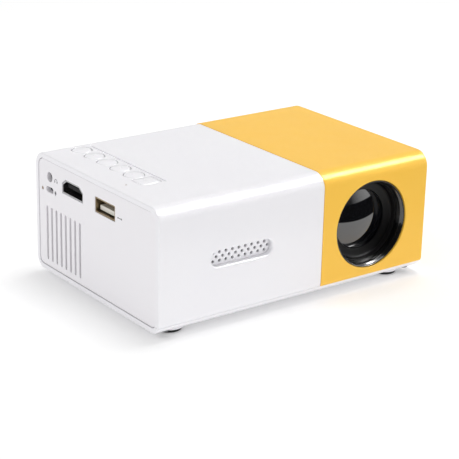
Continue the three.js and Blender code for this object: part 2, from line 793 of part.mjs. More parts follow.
function addSpeaker() {
  place("speaker_grille", speakerGrille(), whitePlastic);
  const front = grilleFace + grillePlateThick + 0.3;
  const back = front + speakerDepth;
  const r = speakerRadius;
  const profile = [
    [r - 2, 0], [r, 0], [r, 1.6], [8.6, 5], [8.6, speakerDepth], [0, speakerDepth],
    [0, speakerDepth - 1.5], [7, speakerDepth - 1.5], [7, 4.4], [r - 2, 1.2], [r - 2, 0],
  ];
  // The lathe's +Y is the speaker's depth.
  const basket = new THREE.LatheGeometry(polygon(...profile), 28);
  place("speaker_frame", basket, blackMatte, grilleAt[0], front, grilleAt[1] - 1);
  const coneProfile = [
    [0, 3], [3, 3.6], [5.6, 3.9], [r - 2.4, 0.3], [r - 2.4, 0.7], [5.9, 4.3], [5.9, 5.6], [5.3, 5.6],
    [5.3, 4.3], [3, 4], [0, 3.4],
  ];
  const cone = new THREE.LatheGeometry(polygon(...coneProfile), 24);
  place("speaker_cone", cone, paper, grilleAt[0], front, grilleAt[1] - 1);
  return back;
}

// ---- Fan and heat sink -----------------------------------------------------------------

function addCooling() {
  const [y, z] = ventAt;
  const [x0, x1] = fanX;
  let frame = cut(
    alongX(rounded(y, z, fanSize, fanSize, 1.5, 3), x0, x1),
    alongX(circle(y, z, impellerRadius + 0.8, 32), x0 - 1, x1 - 1.2),
  );
  const ring = alongX(circle(y, z, impellerRadius + 0.8, 32), x1 - 1.3, x1 + 1);
  const reach = impellerRadius + 1;
  const bridge = [
    alongX(circle(y, z, hubRadius, 20), x1 - 1.2, x1),
    block([x1 - 1.2, x1], [y - reach, y + reach], [z - 0.7, z + 0.7]),
    block([x1 - 1.2, x1], [y - 0.7, y + 0.7], [z - reach, z + reach]),
  ];
  frame = join(cut(frame, ring), ...bridge);
  place("fan_frame", frame, blackMatte);

  let impeller = alongX(circle(y, z, hubRadius, 20), x0 + 0.4, x1 - 1.6);
  for (let i = 0; i < bladeCount; i++) {
    // Each blade is a thin plate set at a slant to the axis.
    const blade = new THREE.BoxGeometry(fanThick - 3.4, 0.8, impellerRadius - hubRadius + 1)
      .rotateZ(0.6)
      .translate(0, 0, (impellerRadius + hubRadius) / 2 - 0.5)
      .rotateX((i * 2 * Math.PI) / bladeCount)
      .translate((x0 + x1) / 2 - 0.6, y, z);
    impeller = join(impeller, solidOf(blade));
  }
  place("fan_impeller", impeller, blackMatte);

  const [sy, sz] = sinkSize;
  const sinkZ = [sinkFoot, sinkFoot + sz];
  const base = block([sinkX[1] - sinkBase, sinkX[1]], [lampY - sy / 2, lampY + sy / 2], sinkZ);
  const fins = Array.from({ length: finCount }, (_, i) => {
    const fy = lampY - sy / 2 + (i * (sy - finThick)) / (finCount - 1);
    return block([sinkX[0], sinkX[1] - 1], [fy, fy + finThick], sinkZ);
  });
  place("heat_sink", join(base, ...fins), aluminium);
}

// ---- Lamp and light box ----------------------------------------------------------------

function addLamp() {
  const x0 = sinkX[1] + 0.1;
  const half = lampBoardSize / 2;
  const y = [lampY - half, lampY + half];
  const plate = block([x0, x0 + lampBoardThick], y, [opticsZ - half, opticsZ + half]);
  place("lamp_board", plate, aluminium);
  const chip = turned([[0, 0.05], [3.4, 0.05], [3.4, 0.6], [2.6, 1.5], [1.4, 2.2], [0, 2.4]], 16);
  const lamp = place("lamp_emitter", chip, amberFilm, x0 + lampBoardThick, lampY, opticsZ);
  lamp.rotation.y = Math.PI / 2;

  // A plano-convex lens, flat towards the lamp, in the mouth of the light box.
  const r = condenserRadius;
  const bulge = Array.from({ length: 7 }, (_, i) => {
    const a = (1 - i / 6) * 1.05;
    const reach = Math.sin(a) / Math.sin(1.05);
    return [r * reach, 2.5 + 6 * ((Math.cos(a) - Math.cos(1.05)) / (1 - Math.cos(1.05)))];
  });
  const geometry = turned([[0, 0], [r, 0], ...bulge], 28);
  const lens = place("condenser_lens", geometry, glass, boxX[0] + boxWall + 0.3, lampY, opticsZ);
  lens.rotation.y = Math.PI / 2;
}

// The display's flat cable leaves the light box between these heights.
const flexZ = [boardBottom - 13.5, boardBottom - 2.5];

// The floor plan of the light box: a leg from the lamp, a corner cut along the mirror, a leg to
// the lens.
function boxPlan(inset) {
  const behind = lampY + lensX + 6.6 - inset * Math.SQRT2;
  const [x0, x1] = [boxX[0] + inset, boxX[1] - inset];
  const [y0, y1] = [boxY[0] + inset, boxY[1] - inset];
  const legX = boxLegX + inset;
  const legY = boxLegY + inset;
  const corner = [[x1, y0], [x1, behind - x1], [behind - y1, y1]];
  return polygon([x0, legY], [legX, legY], [legX, y0], ...corner, [x0, y1]);
}

function addLightBox() {
  const [z0, z1] = boxZ;
  const shell = cut(alongZ(boxPlan(0), z0, z1), alongZ(boxPlan(boxWall), z0 + boxWall, z1 + 1));
  const windowWidth = panelX[1] - panelX[0] - 2 * windowMargin;
  const window = rounded(lensX, opticsZ, windowWidth, panelHeight - 2 * windowMargin, 1.5);
  let box = cut(
    shell,
    alongY(window, boxY[0] - 1, boxY[0] + boxWall + 1),
    alongX(circle(lampY, opticsZ, condenserRadius - 1.2, 28), boxX[0] - 1, boxX[0] + boxWall + 1),
    block([boxLegX - 1, boxLegX + boxWall + 1], [lcdY[0] - 0.1, lcdY[1] + 0.1], [flexZ[0] - 0.5, z1 + 1]),
  );
  // Ribs on both side walls keep the three panels apart.
  const ribs = [
    [frontFresnelY[1] + ribGap, lcdY[0] - ribGap],
    [lcdY[1] + ribGap, rearFresnelY[0] - ribGap],
  ];
  for (const y of ribs) {
    box = join(box, block([boxInside[0] - 0.2, boxInside[0] + 2], y, [z0 + 1, z1]));
    box = join(box, block([boxInside[1] - 2, boxInside[1] + 0.2], y, [z0 + 1, z1]));
  }
  place("light_box", box, blackMatte);
  place("light_box_lid", alongZ(boxPlan(0.1), z1 + 0.1, z1 + 0.1 + lidThick), blackMatte);

  place("rear_fresnel", block(panelX, rearFresnelY, panelZ), clearPlastic);
  place("lcd_panel", block(panelX, lcdY, panelZ), glass);
  place("front_fresnel", block(panelX, frontFresnelY, panelZ), clearPlastic);

  const mirror = new THREE.BoxGeometry(mirrorLength, mirrorThick, panelHeight);
  const [mx, my] = [lensX + mirrorOffset, lampY + mirrorOffset];
  const plate = place("fold_mirror", mirror, mirrorSilver, mx, my, opticsZ);
  plate.rotation.z = -Math.PI / 4;
}

// ---- Lens, focus rack and wheel --------------------------------------------------------

// The involute outline of the toothed focus wheel, with a tooth towards -X.
function wheelOutline() {
  const r = pitchRadius;
  const base = r * Math.cos(pressureAngle);
  const involute = (radius) => {
    const a = Math.acos(Math.min(1, base / radius));
    return Math.tan(a) - a;
  };
  const halfTooth = (Math.PI * toothModule - 2 * backlash) / 4 / r + involute(r);
  const flank = [0, 0.4, 0.7, 1].map((t) => {
    const radius = base + (wheelRadius - base) * t;
    return [radius, halfTooth - involute(radius)];
  });
  const side = [[r - toothRoot, halfTooth], ...flank];
  const tooth = [...side.map(([d, a]) => [d, -a]), ...side.reverse()];
  return Array.from({ length: wheelTeeth }, (_, k) => {
    const middle = Math.PI + (k * 2 * Math.PI) / wheelTeeth;
    return tooth.map(([d, a]) => new THREE.Vector2(d * Math.cos(middle + a), d * Math.sin(middle + a)));
  }).flat();
}

// The rack's plan: straight-sided teeth along Y that reach towards +X.
function rackPlan(backX) {
  const pitch = Math.PI * toothModule;
  const line = wheelX - pitchRadius;
  const half = pitch / 4 - backlash / 2;
  const slope = Math.tan(pressureAngle);
  const [rootX, rootHalf] = [line - toothRoot, half + toothRoot * slope];
  const [tipX, tipHalf] = [line + rackTip, half - rackTip * slope];
  const points = Array.from({ length: rackTeeth }, (_, k) => {
    const y = wheelY + (k - (rackTeeth - 1) / 2) * pitch;
    return [[rootX, y - rootHalf], [tipX, y - tipHalf], [tipX, y + tipHalf], [rootX, y + rootHalf]];
  }).flat();
  const first = points[0][1] - 0.6;
  const last = points[points.length - 1][1] + 0.6;
  return polygon([backX, first], [rootX, first], ...points, [rootX, last], [backX, last]);
}

function lensBarrel() {
  const f = barrelFront;
  const e = f + barrelLength;
  const tube = aroundLens([
    [barrelBore - 1, f + 1.3],
    [barrelBore - 0.4, f + 0.5],
    [barrelRadius - 0.7, f + 0.1],
    [barrelRadius - 0.25, f - 0.25],
    [barrelRadius, f],
    [barrelRadius, e],
    [rearLensRadius - 1, e],
    [rearLensRadius - 1, e - 1.5],
    [rearLensRadius + 0.2, e - 1.5],
    [rearLensRadius + 0.2, e - 8],
    [frontLensRadius - 1.2, e - 8],
    [frontLensRadius - 1.2, f + 6.5],
    [barrelBore - 1, f + 6.5],
    [barrelBore - 1, f + 1.3],
  ]);
  const rack = alongZ(rackPlan(lensX + barrelRadius * 0.8), ...rackZ);
  const bore = aroundLens([[0, f - 1], [barrelBore, f - 1], [barrelBore, e + 1], [0, e + 1]], 24);
  return join(tube, cut(rack, bore));
}

// A biconvex or plano-convex glass: crown heights at the front and back of a plain edge.
function glassDisc(radius, edgeFront, edgeBack, frontCrown, backCrown) {
  const rings = 4;
  const dome = (crown, at) => (i) => {
    const r = (radius * i) / rings;
    return [r, at - crown * (1 - (r / radius) ** 2)];
  };
  const front = Array.from({ length: rings + 1 }, (_, i) => dome(frontCrown, edgeFront)(i));
  const back = Array.from({ length: rings + 1 }, (_, i) => dome(-backCrown, edgeBack)(rings - i));
  return aroundLens([...front, ...back], 32);
}

function lensHousing() {
  const b = lipBehind;
  const back = boxFrontGap - fit; // up to the light box
  const inner = barrelRadius + barrelSlide;
  const step = innerInset + fit; // the mouth's collar passes through the cover's wall
  let made = aroundLens([
    [lipRadius - 0.2, b],
    [lipRadius, b + 0.05],
    [lipRadius, step],
    [housingRadius, step],
    [housingRadius, back],
    [inner, back],
    [inner, throatBehind + 0.4],
    [throatRadius, throatBehind],
    [lipRadius - 0.2, b],
  ]);
  // Square flange against the light box.
  const flangeBack = boxY[0] - fit;
  const flangeFoot = opticsZ - housingRadius - 1.4;
  const flangeHeight = boxZ[1] - 0.1 - flangeFoot; // up to just under the box's top
  const flangeMiddle = flangeFoot + flangeHeight / 2;
  const flangeOutline = rounded(lensX, flangeMiddle, 2 * housingRadius + 8.8, flangeHeight, 2);
  const flange = alongY(flangeOutline, flangeBack - 1.8, flangeBack, [
    circle(lensX, opticsZ, inner, 40).reverse(),
  ]);
  // Arms that carry the focus wheel's axle above and below it.
  const armX = [lensX + housingRadius - 5, wheelX + 2.6];
  const armY = [wheelY - 2.6, wheelY + 2.6];
  const gap = 0.35;
  const armBelow = block(armX, armY, [wheelZ[0] - gap - 1.6, wheelZ[0] - gap]);
  const armAbove = block(armX, armY, [wheelZ[1] + gap, wheelZ[1] + gap + 1.6]);
  made = join(made, flange, armBelow, armAbove);
  const bore = aroundLens([
    [0, throatBehind + 0.5],
    [inner, throatBehind + 0.5],
    [inner, back + 1],
    [0, back + 1],
  ]);
  // One window for the wheel, and a longer one for the rack as it travels.
  const windowX = [lensX + 8, wheelX + 12];
  const windowZ = [wheelZ[0] - gap, wheelZ[1] + gap];
  const wheelReach = wheelRadius + 0.5;
  const rackReach = (rackTeeth / 2 + 0.3) * Math.PI * toothModule + focusTravel + 0.5;
  const reach = Math.max(wheelReach, rackReach);
  const window = block(windowX, [wheelY - reach, wheelY + reach], windowZ);
  const axleHole = alongZ(circle(wheelX, wheelY, axleRadius + 0.12, 12), wheelZ[0] - 6, wheelZ[1] + 6);
  return cut(made, bore, window, axleHole);
}

function focusWheel() {
  const bore = alongZ(circle(0, 0, axleRadius + 0.2, 16), wheelZ[0] - 1, wheelZ[1] + 1);
  return cut(alongZ(wheelOutline(), ...wheelZ), bore);
}

function addLens() {
  place("lens_housing", lensHousing(), blackGloss);
  place("lens_barrel", lensBarrel(), blackGloss);
  const f = barrelFront;
  place("front_lens", glassDisc(frontLensRadius, f + 1.6, f + 6.2, frontLensCrown, 0), glass);
  // The threaded ring that holds the front lens, seen as a black slope round the glass.
  const ring = aroundLens([
    [ringOpening, f + 0.8],
    [barrelBore - 1.2, f + 0.45],
    [barrelBore - 1.2, f + 1.15],
    [ringOpening, f + 1.15],
    [ringOpening, f + 0.8],
  ]);
  place("lens_ring", ring, blackGloss);
  const e = f + barrelLength;
  place("rear_lens", glassDisc(rearLensRadius, e - 7.6, e - 3.6, 0, 1.8), glass);
  place("focus_wheel", focusWheel(), blackMatte, wheelX, wheelY, 0);
  const axle = alongZ(circle(wheelX, wheelY, axleRadius, 12), wheelZ[0] - 2.4, wheelZ[1] + 2.4);
  place("focus_axle", axle, steel);
}

// ---- Cables ----------------------------------------------------------------------------

function wire(points, radius) {
  const path = new THREE.CatmullRomCurve3(points.map((p) => new THREE.Vector3(...p)));
  const section = new THREE.Shape(circle(0, 0, radius, 8));
  return new THREE.ExtrudeGeometry(section, { extrudePath: path, steps: 16, bevelEnabled: false });
}

function addCables() {
  const [fx, fy] = fanHeader;
  const fanTop = ventAt[1] + fanSize / 2 + 0.2;
  const fanWire = wire([
    [fx - 6.9, fy, fanTop],
    [fx - 5.9, fy, fanTop + 2.4],
    [fx - 2.1, fy, fanTop + 4],
    [fx - 0.6, fy, fanTop + 6.2],
    [fx - 0.3, fy, boardBottom - headerHeight - 0.2],
  ], 0.8);
  place("fan_cable", fanWire, rubber);
  const [sx, sy] = speakerHeader;
  const speakerBack = grilleFace + grillePlateThick + 0.3 + speakerDepth;
  const speakerTop = boardBottom - headerHeight - 0.3;
  const speakerWire = wire([
    [grilleAt[0], speakerBack + 0.9, grilleAt[1] + 5.4],
    [sx, speakerBack + 1.5, grilleAt[1] + 8.4],
    [sx, (speakerBack + 1.5 + sy) / 2, speakerTop - 2.2],
    [sx, sy, speakerTop],
  ], 0.7);
  place("speaker_cable", speakerWire, rubber);
  // The display's flat cable stands on edge, from the panel to its header under the board.
  const half = 0.15;
  const lcdMiddle = (lcdY[0] + lcdY[1]) / 2;
  const [dx, dy] = displayHeader;
  const bend = [
    [boxLegX + boxWall + 0.2, lcdMiddle],
    [boxLegX - 3, lcdMiddle],
    [boxLegX - 9, lcdMiddle - 0.9],
    [dx + 15.8, dy + 0.8],
    [dx + 8.8, dy],
    [dx + 2.05, dy],
  ];
  const there = bend.map(([x, y]) => [x, y - half]);
  const andBack = bend.map(([x, y]) => [x, y + half]).reverse();
  place("display_cable", alongZ(polygon(...there, ...andBack).reverse(), ...flexZ), amberFilm);
}

addCase();
addKeys();
place("main_board", mainBoard(), boardGreen);
addPorts();
addSpeaker();
addCooling();
addLamp();
addLightBox();
addLens();
addCables();

export default model;
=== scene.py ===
import math
import bmesh
import bpy
import numpy as np
from mathutils import Matrix, Vector


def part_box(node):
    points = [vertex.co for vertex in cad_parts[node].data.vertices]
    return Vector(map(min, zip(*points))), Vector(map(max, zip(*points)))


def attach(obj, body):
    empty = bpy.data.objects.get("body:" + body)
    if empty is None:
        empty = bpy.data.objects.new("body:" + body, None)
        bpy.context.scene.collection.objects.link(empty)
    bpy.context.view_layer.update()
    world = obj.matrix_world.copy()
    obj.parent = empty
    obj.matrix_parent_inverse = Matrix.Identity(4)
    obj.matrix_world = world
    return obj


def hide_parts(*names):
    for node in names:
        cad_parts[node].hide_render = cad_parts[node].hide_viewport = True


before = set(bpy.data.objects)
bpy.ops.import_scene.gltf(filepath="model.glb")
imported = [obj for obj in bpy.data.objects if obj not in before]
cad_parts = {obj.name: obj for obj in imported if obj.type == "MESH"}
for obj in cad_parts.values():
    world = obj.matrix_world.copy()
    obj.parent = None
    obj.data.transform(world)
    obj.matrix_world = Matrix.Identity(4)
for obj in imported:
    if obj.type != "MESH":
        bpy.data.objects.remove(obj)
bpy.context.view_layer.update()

# The case's own millimetres: x from the middle of the case, y from its middle, z from its underside.
case = dict(length=126.0, depth=86.0, height=48.0, topRadius=6.0, bottomRadius=5.0, wall=2.0,
            yellowProud=0.25, seamX=10.9, coverFoot=3.3)
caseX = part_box("bottom_tray")[0][0] * 1000 + case["length"] / 2
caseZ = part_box("yellow_cover")[1][2] * 1000 - case["height"]


def caseMillimetres(node):
    # A CAD node's lowest and highest corners in the case's own millimetres.
    return [np.array(corner) * 1000 - np.array([caseX, 0.0, caseZ]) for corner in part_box(node)]


innerInset = case["yellowProud"] + case["wall"]
portEnd = -case["length"] / 2
lensEnd = case["length"] / 2
frontFace = -case["depth"] / 2
whiteTop = case["height"] - case["yellowProud"]


class Wire:
    # A shader socket whose arithmetic adds Math nodes.
    def __init__(self, finish, socket):
        self.finish = finish
        self.socket = socket

    def calc(self, operation, *values):
        inputs = {i: v for i, v in enumerate(values)}
        return self.finish.add("ShaderNodeMath", {"operation": operation}, inputs).out(0)

    def __add__(self, other):
        return self.calc("ADD", self, other)

    def __radd__(self, other):
        return self.calc("ADD", other, self)

    def __sub__(self, other):
        return self.calc("SUBTRACT", self, other)

    def __rsub__(self, other):
        return self.calc("SUBTRACT", other, self)

    def __mul__(self, other):
        return self.calc("MULTIPLY", self, other)

    def __rmul__(self, other):
        return self.calc("MULTIPLY", other, self)

    def clamped(self):
        return self.calc("MAXIMUM", self.calc("MINIMUM", self, 1.0), 0.0)


class Placed:
    def __init__(self, finish, node):
        self.finish = finish
        self.node = node

    def out(self, key):
        return Wire(self.finish, self.node.outputs[key])


class Finish:
    # A material, or the world, whose nodes come from one method.
    def __init__(self, name, owner=None):
        self.owner = owner or bpy.data.materials.new(name)
        self.owner.use_nodes = True
        self.tree = self.owner.node_tree
        self.tree.nodes.clear()

    def add(self, kind, settings=None, inputs=None):
        node = self.tree.nodes.new(kind)
        for key, value in (settings or {}).items():
            if key == "stops":
                while len(node.color_ramp.elements) < len(value):
                    node.color_ramp.elements.new(0.5)
                for element, (position, colour) in zip(node.color_ramp.elements, value):
                    element.position = position
                    element.color = colour
            else:
                setattr(node, key, value)
        for key, value in (inputs or {}).items():
            if isinstance(value, Wire):
                self.tree.links.new(value.socket, node.inputs[key])
            else:
                node.inputs[key].default_value = value
        return Placed(self, node)

    def place(self):
        return self.add("ShaderNodeTexCoord").out("Object")

    def noise(self, scale, detail=2.0, roughness=0.5, vector=None):
        inputs = {"Vector": vector or self.place(), "Scale": scale, "Detail": detail,
                  "Roughness": roughness}
        return self.add("ShaderNodeTexNoise", None, inputs).out(0)

    def blend(self, share, first, second):
        inputs = {0: share, 6: first, 7: second}
        return self.add("ShaderNodeMix", {"data_type": "RGBA"}, inputs).out(2)

    def bump(self, height, strength, distance):
        inputs = {"Strength": strength, "Distance": distance, "Height": height}
        return self.add("ShaderNodeBump", None, inputs).out(0)

    def surface(self, **inputs):
        shader = self.add("ShaderNodeBsdfPrincipled", None, inputs).out(0)
        self.add("ShaderNodeOutputMaterial", None, {"Surface": shader})
        return self.owner


def linear(red, green, blue):
    def one(value):
        value = value / 255
        return value / 12.92 if value < 0.04045 else ((value + 0.055) / 1.055) ** 2.4
    return (one(red), one(green), one(blue), 1.0)


def mouldedPlastic(name, colour, shade, roughness, gloss=0.0, grain=0.06, grainScale=2600.0):
    # Injection-moulded plastic: a faint cloud in the colour, a fine eroded-tool grain in the
    # height, and slow changes of gloss from handling.
    f = Finish(name)
    cloud = f.noise(38.0, 3.0)
    fine = f.noise(grainScale, 2.0, 0.6)
    slow = f.noise(120.0, 2.0)
    tone = f.blend(cloud, colour, shade)
    rough = (slow - 0.5) * 0.12 + (fine - 0.5) * 0.08 + roughness
    return f.surface(**{"Base Color": tone, "Roughness": rough.clamped(), "Coat Weight": gloss,
                        "Coat Roughness": 0.12, "IOR": 1.46,
                        "Normal": f.bump(fine, grain, 0.0002)})


whiteCase = mouldedPlastic("whiteCase", linear(247, 246, 249), linear(244, 243, 247), 0.4, gloss=0.35)
# The end plate's white is the case's white made a shade darker: painted shade for the end that faces away
# from the light. It is also rougher and less glossy.
whiteEnd = mouldedPlastic("whiteEnd", linear(245, 243, 246), linear(242, 240, 244), 0.46, gloss=0.2)
yellowCase = mouldedPlastic("yellowCase", linear(255, 203, 74), linear(254, 198, 66), 0.42, gloss=0.1)
blackTube = mouldedPlastic("blackTube", linear(22, 22, 23), linear(15, 15, 16), 0.55)
# Black plastic for the parts inside, made darker than the plastic itself: partly its own black and partly
# painted shade, so the ports and slots look shaded inside.
blackInside = mouldedPlastic("blackInside", linear(15, 15, 17), linear(9, 9, 10), 0.7, grain=0.25,
                             grainScale=1500.0)
ivoryTongue = mouldedPlastic("ivoryTongue", linear(240, 237, 228), linear(228, 224, 212), 0.4)
wheelPlastic = mouldedPlastic("wheelPlastic", linear(38, 38, 40), linear(28, 28, 30), 0.55, grain=0.2)


def polishedBlack(name, roughness, level=0.5, coat=0.0):
    # Polished black moulding: a deep base under a slightly uneven gloss with fine dust.
    f = Finish(name)
    slow = f.noise(160.0, 2.0)
    dust = (f.noise(5200.0, 1.0) - 0.66) * 3.0
    rough = (slow - 0.5) * 0.06 + dust.clamped() * 0.25 + roughness
    tone = f.blend(slow, linear(12, 12, 13), linear(5, 5, 6))
    return f.surface(**{"Base Color": tone, "Roughness": rough.clamped(), "Specular IOR Level": level,
                        "Coat Weight": coat, "Coat Roughness": 0.08})


funnelBlack = polishedBlack("funnelBlack", 0.2, 0.6, 1.0)
barrelBlack = polishedBlack("barrelBlack", 0.34, 0.22)


def coatedGlass(name, colour, ior):
    # Coated optical glass over a dark barrel: almost no colour of its own, a strong clear
    # reflection, and a very faint smear in the coating.
    f = Finish(name)
    smear = f.noise(90.0, 3.0)
    tone = f.blend(smear, colour, linear(10, 11, 16))
    return f.surface(**{"Base Color": tone, "Roughness": (smear * 0.03 + 0.015), "IOR": ior,
                        "Coat Weight": 0.0})


lensGlass = coatedGlass("lensGlass", linear(8, 8, 10), 2.1)


def metal(name, colour, shade, roughness, grain=0.15, scale=900.0):
    # Plated or drawn metal: fine drawing lines in the height and a slow change of tone.
    f = Finish(name)
    along = f.add("ShaderNodeMapping", None, {"Vector": f.place(), "Scale": (0.08, 1.0, 1.0)}).out(0)
    lines = f.noise(scale, 2.0, 0.6, along)
    tone = f.blend(f.noise(70.0, 2.0), colour, shade)
    rough = (lines - 0.5) * 0.2 + roughness
    return f.surface(**{"Base Color": tone, "Metallic": 1.0, "Roughness": rough.clamped(),
                        "Normal": f.bump(lines, grain, 0.0001)})


platedSteel = metal("platedSteel", linear(196, 196, 198), linear(170, 170, 172), 0.3)
warmPlate = metal("warmPlate", linear(176, 158, 128), linear(120, 100, 74), 0.34)
screwSteel = metal("screwSteel", linear(150, 150, 154), linear(112, 112, 116), 0.38)
heatAluminium = metal("heatAluminium", linear(206, 208, 212), linear(182, 184, 190), 0.36)
turnedBrass = metal("turnedBrass", linear(208, 172, 96), linear(176, 138, 70), 0.3)
goldContact = metal("goldContact", linear(226, 184, 96), linear(206, 160, 74), 0.25)


def soleRubber(name):
    # Moulded rubber: dark, dull, with a pebbled skin and grey dust on the high spots.
    f = Finish(name)
    pebble = f.noise(1400.0, 3.0, 0.6)
    dust = ((f.noise(260.0, 3.0) - 0.55) * 4.0).clamped()
    tone = f.blend(dust * 0.5, linear(30, 30, 31), linear(62, 61, 60))
    return f.surface(**{"Base Color": tone, "Roughness": pebble * 0.15 + 0.75,
                        "Normal": f.bump(pebble, 0.35, 0.0003)})


footRubber = soleRubber("footRubber")


def circuitBoard(name):
    # Solder mask with copper tracks: bands of a wave texture, kept where a coarse cell pattern
    # allows them, show lighter under the green.
    f = Finish(name)
    wave = f.add("ShaderNodeTexWave", {"bands_direction": "X"}, {"Vector": f.place(), "Scale": 190.0,
                 "Distortion": 6.0, "Detail": 2.0, "Detail Scale": 60.0}).out(1)
    tracks = ((wave - 0.62) * 9.0).clamped()
    tone = f.blend(tracks, linear(22, 78, 48), linear(46, 118, 70))
    return f.surface(**{"Base Color": tone, "Roughness": 0.34 + tracks * 0.08,
                        "Normal": f.bump(tracks, 0.3, 0.00005)})


def clearMoulding(name, colour, alphaLike=0.2):
    # Clear plastic with fine concentric grooves, as on a flat lens.
    f = Finish(name)
    rings = f.add("ShaderNodeTexWave", {"wave_type": "RINGS", "rings_direction": "Y"},
                  {"Vector": f.place(), "Scale": 700.0}).out(1)
    return f.surface(**{"Base Color": colour, "Roughness": rings * 0.12 + alphaLike,
                        "Normal": f.bump(rings, 0.2, 0.00005)})


def paperCone(name):
    f = Finish(name)
    fibre = f.noise(1800.0, 4.0, 0.7)
    tone = f.blend(fibre, linear(30, 30, 32), linear(58, 57, 58))
    return f.surface(**{"Base Color": tone, "Roughness": 0.85, "Normal": f.bump(fibre, 0.5, 0.0003)})


def silvered(name):
    f = Finish(name)
    haze = f.noise(60.0, 3.0)
    return f.surface(**{"Base Color": linear(232, 235, 240), "Metallic": 1.0,
                        "Roughness": haze * 0.04 + 0.02})


def paint(name, colour, roughness=0.5):
    f = Finish(name)
    speck = f.noise(3000.0, 2.0)
    tone = f.blend(speck, colour, tuple(c * 0.8 for c in colour[:3]) + (1.0,))
    return f.surface(**{"Base Color": tone, "Roughness": speck * 0.1 + roughness})


boardGreen = circuitBoard("boardGreen")
clearLens = clearMoulding("clearLens", linear(206, 214, 220))
conePaper = paperCone("conePaper")
mirrorSilver = silvered("mirrorSilver")
amberFilm = paint("amberFilm", linear(190, 130, 46), 0.4)
darkDisplay = paint("darkDisplay", linear(34, 38, 46), 0.12)
lightLens = paint("lightLens", linear(150, 120, 92), 0.25)
printInk = paint("printInk", linear(92, 92, 98), 0.55)
cableSkin = paint("cableSkin", linear(34, 34, 36), 0.5)
print("finishes ready")


def piece(name, parts, finish, body, replaced=(), smoothAngle=32.0, weighted=True):
    # parts: (points, faces) pairs in case millimetres, joined into one object at the origin.
    points = []
    faces = []
    start = 0
    for p, f in parts:
        p = np.asarray(p, float).reshape(-1, 3)
        points.append(p)
        faces.extend([[int(i) + start for i in face] for face in f])
        start += len(p)
    points = (np.concatenate(points) + np.array([caseX, 0.0, caseZ])) / 1000
    mesh = bpy.data.meshes.new(name)
    mesh.from_pydata(points.tolist(), [], faces)
    obj = bpy.data.objects.new(name, mesh)
    bpy.context.scene.collection.objects.link(obj)
    tidyMesh(obj, smoothAngle)
    if finish:
        mesh.materials.append(finish)
    if body:
        settle(obj, body, replaced, weighted)
    return obj


def tidyMesh(obj, smoothAngle):
    bm = bmesh.new()
    bm.from_mesh(obj.data)
    bmesh.ops.remove_doubles(bm, verts=bm.verts, dist=1e-7)
    bmesh.ops.recalc_face_normals(bm, faces=bm.faces)
    for face in bm.faces:
        face.smooth = True
    for e in bm.edges:
        e.smooth = len(e.link_faces) == 2 and e.calc_face_angle(0.0) < math.radians(smoothAngle)
    bm.to_mesh(obj.data)
    bm.free()


def settle(obj, body, replaced=(), weighted=True):
    if weighted:
        normals = obj.modifiers.new("normals", "WEIGHTED_NORMAL")
        normals.keep_sharp = True
    if replaced:
        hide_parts(*replaced)
    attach(obj, body)


def cutFrom(obj, cutterParts, smoothAngle=32.0):
    # Takes the cutters away from the piece for good, and marks its edges again.
    cutter = piece(obj.name + "_cutter", cutterParts, None, None)
    boolean = obj.modifiers.new("cut", "BOOLEAN")
    boolean.operation = "DIFFERENCE"
    boolean.solver = "EXACT"
    boolean.object = cutter
    graph = bpy.context.evaluated_depsgraph_get()
    made = bpy.data.meshes.new_from_object(obj.evaluated_get(graph))
    obj.modifiers.clear()
    old = obj.data
    obj.data = made
    made.name = old.name + "_cut"
    bpy.data.meshes.remove(old)
    spare = cutter.data
    bpy.data.objects.remove(cutter)
    bpy.data.meshes.remove(spare)
    tidyMesh(obj, smoothAngle)


def gridFaces(rows, columns, closedColumns=False, closedRows=False):
    # Quads of a rows by columns grid of points, wrapped round where it closes.
    i = np.arange(rows if closedRows else rows - 1)
    j = np.arange(columns if closedColumns else columns - 1)
    i, j = np.meshgrid(i, j, indexing="ij")
    i1 = (i + 1) % rows
    j1 = (j + 1) % columns
    return np.stack([i * columns + j, i * columns + j1, i1 * columns + j1, i1 * columns + j],
                    -1).reshape(-1, 4).tolist()


def arcPoints(cx, cy, radius, start, end, steps):
    # Points at equal angles on a circle about (cx, cy).
    a = np.radians(np.linspace(start, end, steps + 1))
    return np.stack([cx + radius * np.cos(a), cy + radius * np.sin(a)], -1)


def disc(cx, cy, radius, steps=32):
    return arcPoints(cx, cy, radius, 0, 360, steps)[:-1]


def roundRect(cx, cy, width, height, radius, steps=6):
    # A rectangle whose corners are quarter circles, anticlockwise from the right.
    w = width / 2 - radius
    h = height / 2 - radius
    corners = [(w, h, 0), (-w, h, 90), (-w, -h, 180), (w, -h, 270)]
    return np.concatenate([arcPoints(cx + x, cy + y, radius, a, a + 90, steps)
                           for x, y, a in corners])


def grown(loop, amount):
    # Each corner moves out along the mean of its two edges' normals, so edges move by amount.
    before = np.roll(loop, 1, 0)
    after = np.roll(loop, -1, 0)
    def normal(a, b):
        d = b - a
        n = np.stack([d[:, 1], -d[:, 0]], -1)
        return n / np.maximum(np.linalg.norm(n, axis=1, keepdims=True), 1e-12)
    n = normal(before, loop) + normal(loop, after)
    n /= np.maximum((n * n).sum(1, keepdims=True), 1e-12) / 2
    return loop + n * amount


def stacked(loop, stations, axis):
    # The outline carried along an axis: at each (place, growth) it is drawn grown by that much.
    rings = []
    for place, growth in stations:
        ring = grown(loop, growth)
        along = np.full(len(ring), place)
        a, b = ring[:, 0], ring[:, 1]
        order = {"x": (along, a, b), "y": (a, along, b), "z": (a, b, along)}[axis]
        rings.append(np.stack(order, -1))
    rows, columns = len(rings), len(loop)
    faces = gridFaces(rows, columns, closedColumns=True)
    faces.append(list(range(columns)))
    faces.append([(rows - 1) * columns + k for k in range(columns)])
    return np.concatenate(rings), faces


